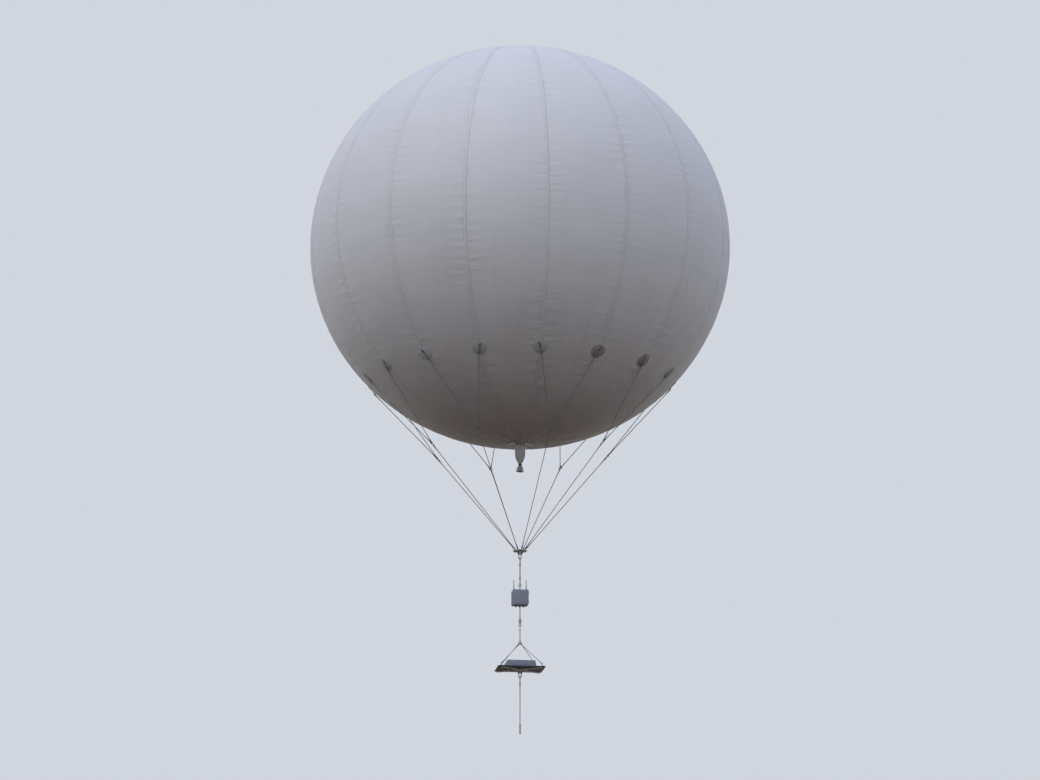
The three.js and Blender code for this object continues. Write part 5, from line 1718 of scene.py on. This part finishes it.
LOUVRE = {"length": 0.070, "width": 0.010, "height": 0.0045, "spread": 0.058}
LOUVRE_LEVELS = (0.030, 0.044, 0.058, 0.072)
LOUVRE_HOOD = [(-0.6, 0.8), (0.1, 1.0), (0.8, 0.55)]
length, width = LOUVRE["length"] / 2, LOUVRE["width"] / 2
rings = []
for share in np.linspace(-1, 1, 13):
    height = LOUVRE["height"] * math.sqrt(1 - abs(share) ** 3)
    hood = [(x * width, level * height) for x, level in LOUVRE_HOOD]
    section = [(-width, -0.001), (-width, 0.0), *hood, (width, 0.0), (width, -0.001)]
    rings.append([(x, share * length, z) for x, z in section])
mould = Mould()
mould.skin(rings)
slope = math.atan2((COVER["low_width"] - COVER["high_width"]) / 2, cover_height)
spots, leans = [], []
for side in (-1, 1):
    for level in LOUVRE_LEVELS:
        for y in (-LOUVRE["spread"], LOUVRE["spread"]):
            spots.append((side * cover_layer(level)[0] / 2, y, COVER_LOW.z + level))
            leans.append((side * math.cos(slope), 0, math.sin(slope)))
studs("cover_louvres", mould.mesh("louvre"), spots, leans, "platform", coat)

mould = Mould()
for x in (-0.12, -0.08):
    gland(mould, (x, -cover_front, hatch_middle), (0, 1, 0))
plug_socket = [
    (0, 0), (0.018, 0), (0.018, 0.004), (0.0145, 0.0045), (0.0145, 0.016), (0.0135, 0.017), (0, 0.017)
]
mould.turned(plug_socket, (0.11, -cover_front, hatch_middle), (0, 1, 0), 36)
mould.fit("cover_glands", "platform", "antenna_rubber", rubber)
battery("platform_pack", "platform_battery", "platform")

# Hatch. A pressed sheet lid closes the opening. It hinges at its foot and is held by two
# quarter-turn fasteners.
HATCH = (HATCH_HIGH.x * 2, HATCH_HEIGHT, 0.007)
HATCH_BACK = cover_front - SEAT
deep = 0.005
hatch_rows = [
    (0.002, 0.001, 0), (0, 0, 0.0006), (0, 0, 0.0022), (0.0012, 0.0005, 0.0028), (0.016, 0.001, 0.0028),
    (0.022, 0.002, deep - 0.0003), (0.025, 0.003, deep),
]
mould = Mould()
boxed(mould, stepped(HATCH, hatch_rows), (0, HATCH_BACK, hatch_middle), (0, -1, 0), steps=6)
knuckle(mould, (0, hinge_y, hinge_z), (1, 0, 0))
boxed(mould, hinge_leaf, (0, hinge_y + 0.0008, hinge_z), (0, 0, 1), steps=2)
mould.fit("hatch_lid", "hatch", "platform_paint", coat, ["instrument_hatch"], sharp=35)

button = [
    (0, 0), (0.0085, 0), (0.0085, 0.0012), (0.0076, 0.002), (0.0058, 0.0022), (0.0056, 0.0016), (0, 0.0016)
]
slot_bar = [(0.0028, 0.0104, 0.001, 0.001), (0.0024, 0.0098, 0.001, 0.0034)]
mould = Mould()
for x in (-0.118, 0.118):
    spot = (x, HATCH_BACK - deep + 0.0006, hatch_middle + 0.014)
    mould.turned(button, spot, (0, -1, 0), 28)
    boxed(mould, slot_bar, spot, (0, -1, 0), steps=2)
mould.fit("hatch_fasteners", "hatch", "steel", steel)

# Tether shackle and leader. The leader is a short rope. Its thimble hangs in the shackle, and a
# pressed socket holds a flat steel eye below, for the tether's pin.
FRAME_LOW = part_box("platform_frame")[0].z
LEADER_LOW, LEADER_HIGH = (corner.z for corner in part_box("tether_leader"))
LEADER_RADIUS = 0.006
LEADER_EYE = {"outer": 0.030, "inner": 0.013, "half_thickness": 0.008, "chamfer": 0.002}
SOCKET = [
    (0, 0), (0.0125, 0), (0.0135, 0.004), (0.0135, 0.022), (0.0125, 0.024), (0.0125, 0.030),
    (0.0135, 0.032), (0.0135, 0.050), (0.0125, 0.052), (0.0125, 0.058), (0.0135, 0.060),
    (0.0135, 0.078), (0.0105, 0.086), (0.0075, 0.090), (0.0064, 0.091), (0, 0.091),
]
shackle("bow_shackle_below", "tether_shackle", "shackle_below", FRAME_LOW + LUG["half_width"])

outer, inner, edge, thick = (LEADER_EYE[size] for size in ("outer", "inner", "chamfer", "half_thickness"))
eye_z = LEADER_LOW + outer
socket_low = eye_z + outer - 0.006
leader_top = (0, 0, LEADER_HIGH - THIMBLE_REACH)
rope, cords, fittings = Mould(), Mould(), Mould()
eye = thimble(fittings, leader_top, (0, 0, -1), (1, 0, 0), THIMBLE_INNER, LEADER_RADIUS)
ends = [(leader_top, (1, 0, 0), eye), ((0, 0, socket_low + 0.071), None, 0)]
spliced(rope, cords, ends, LEADER_RADIUS, 0.10, step=0.004, **IN_THIMBLE)
fittings.turned(SOCKET, (0, 0, socket_low), (0, 0, 1), 32)
turns = whole_turn(64)
half_ring = [(thick - edge, outer), (thick, outer - edge), (thick, inner + edge), (thick - edge, inner)]
fittings.skin([
    np.column_stack((np.full(64, x), radius * np.cos(turns), eye_z + radius * np.sin(turns)))
    for x, radius in half_ring + [(-x, radius) for x, radius in half_ring[::-1]]
], looped=True)
rope.fit("leader_rope", "leader", "rope", rope_fibre, ["tether_leader"], sharp=80)
cords.fit("leader_whippings", "leader", "rope", thread, sharp=80)
fittings.fit("leader_fittings", "leader", "steel", steel, sharp=35)

corners = {"cad": cad_bounds, "visual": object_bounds()}
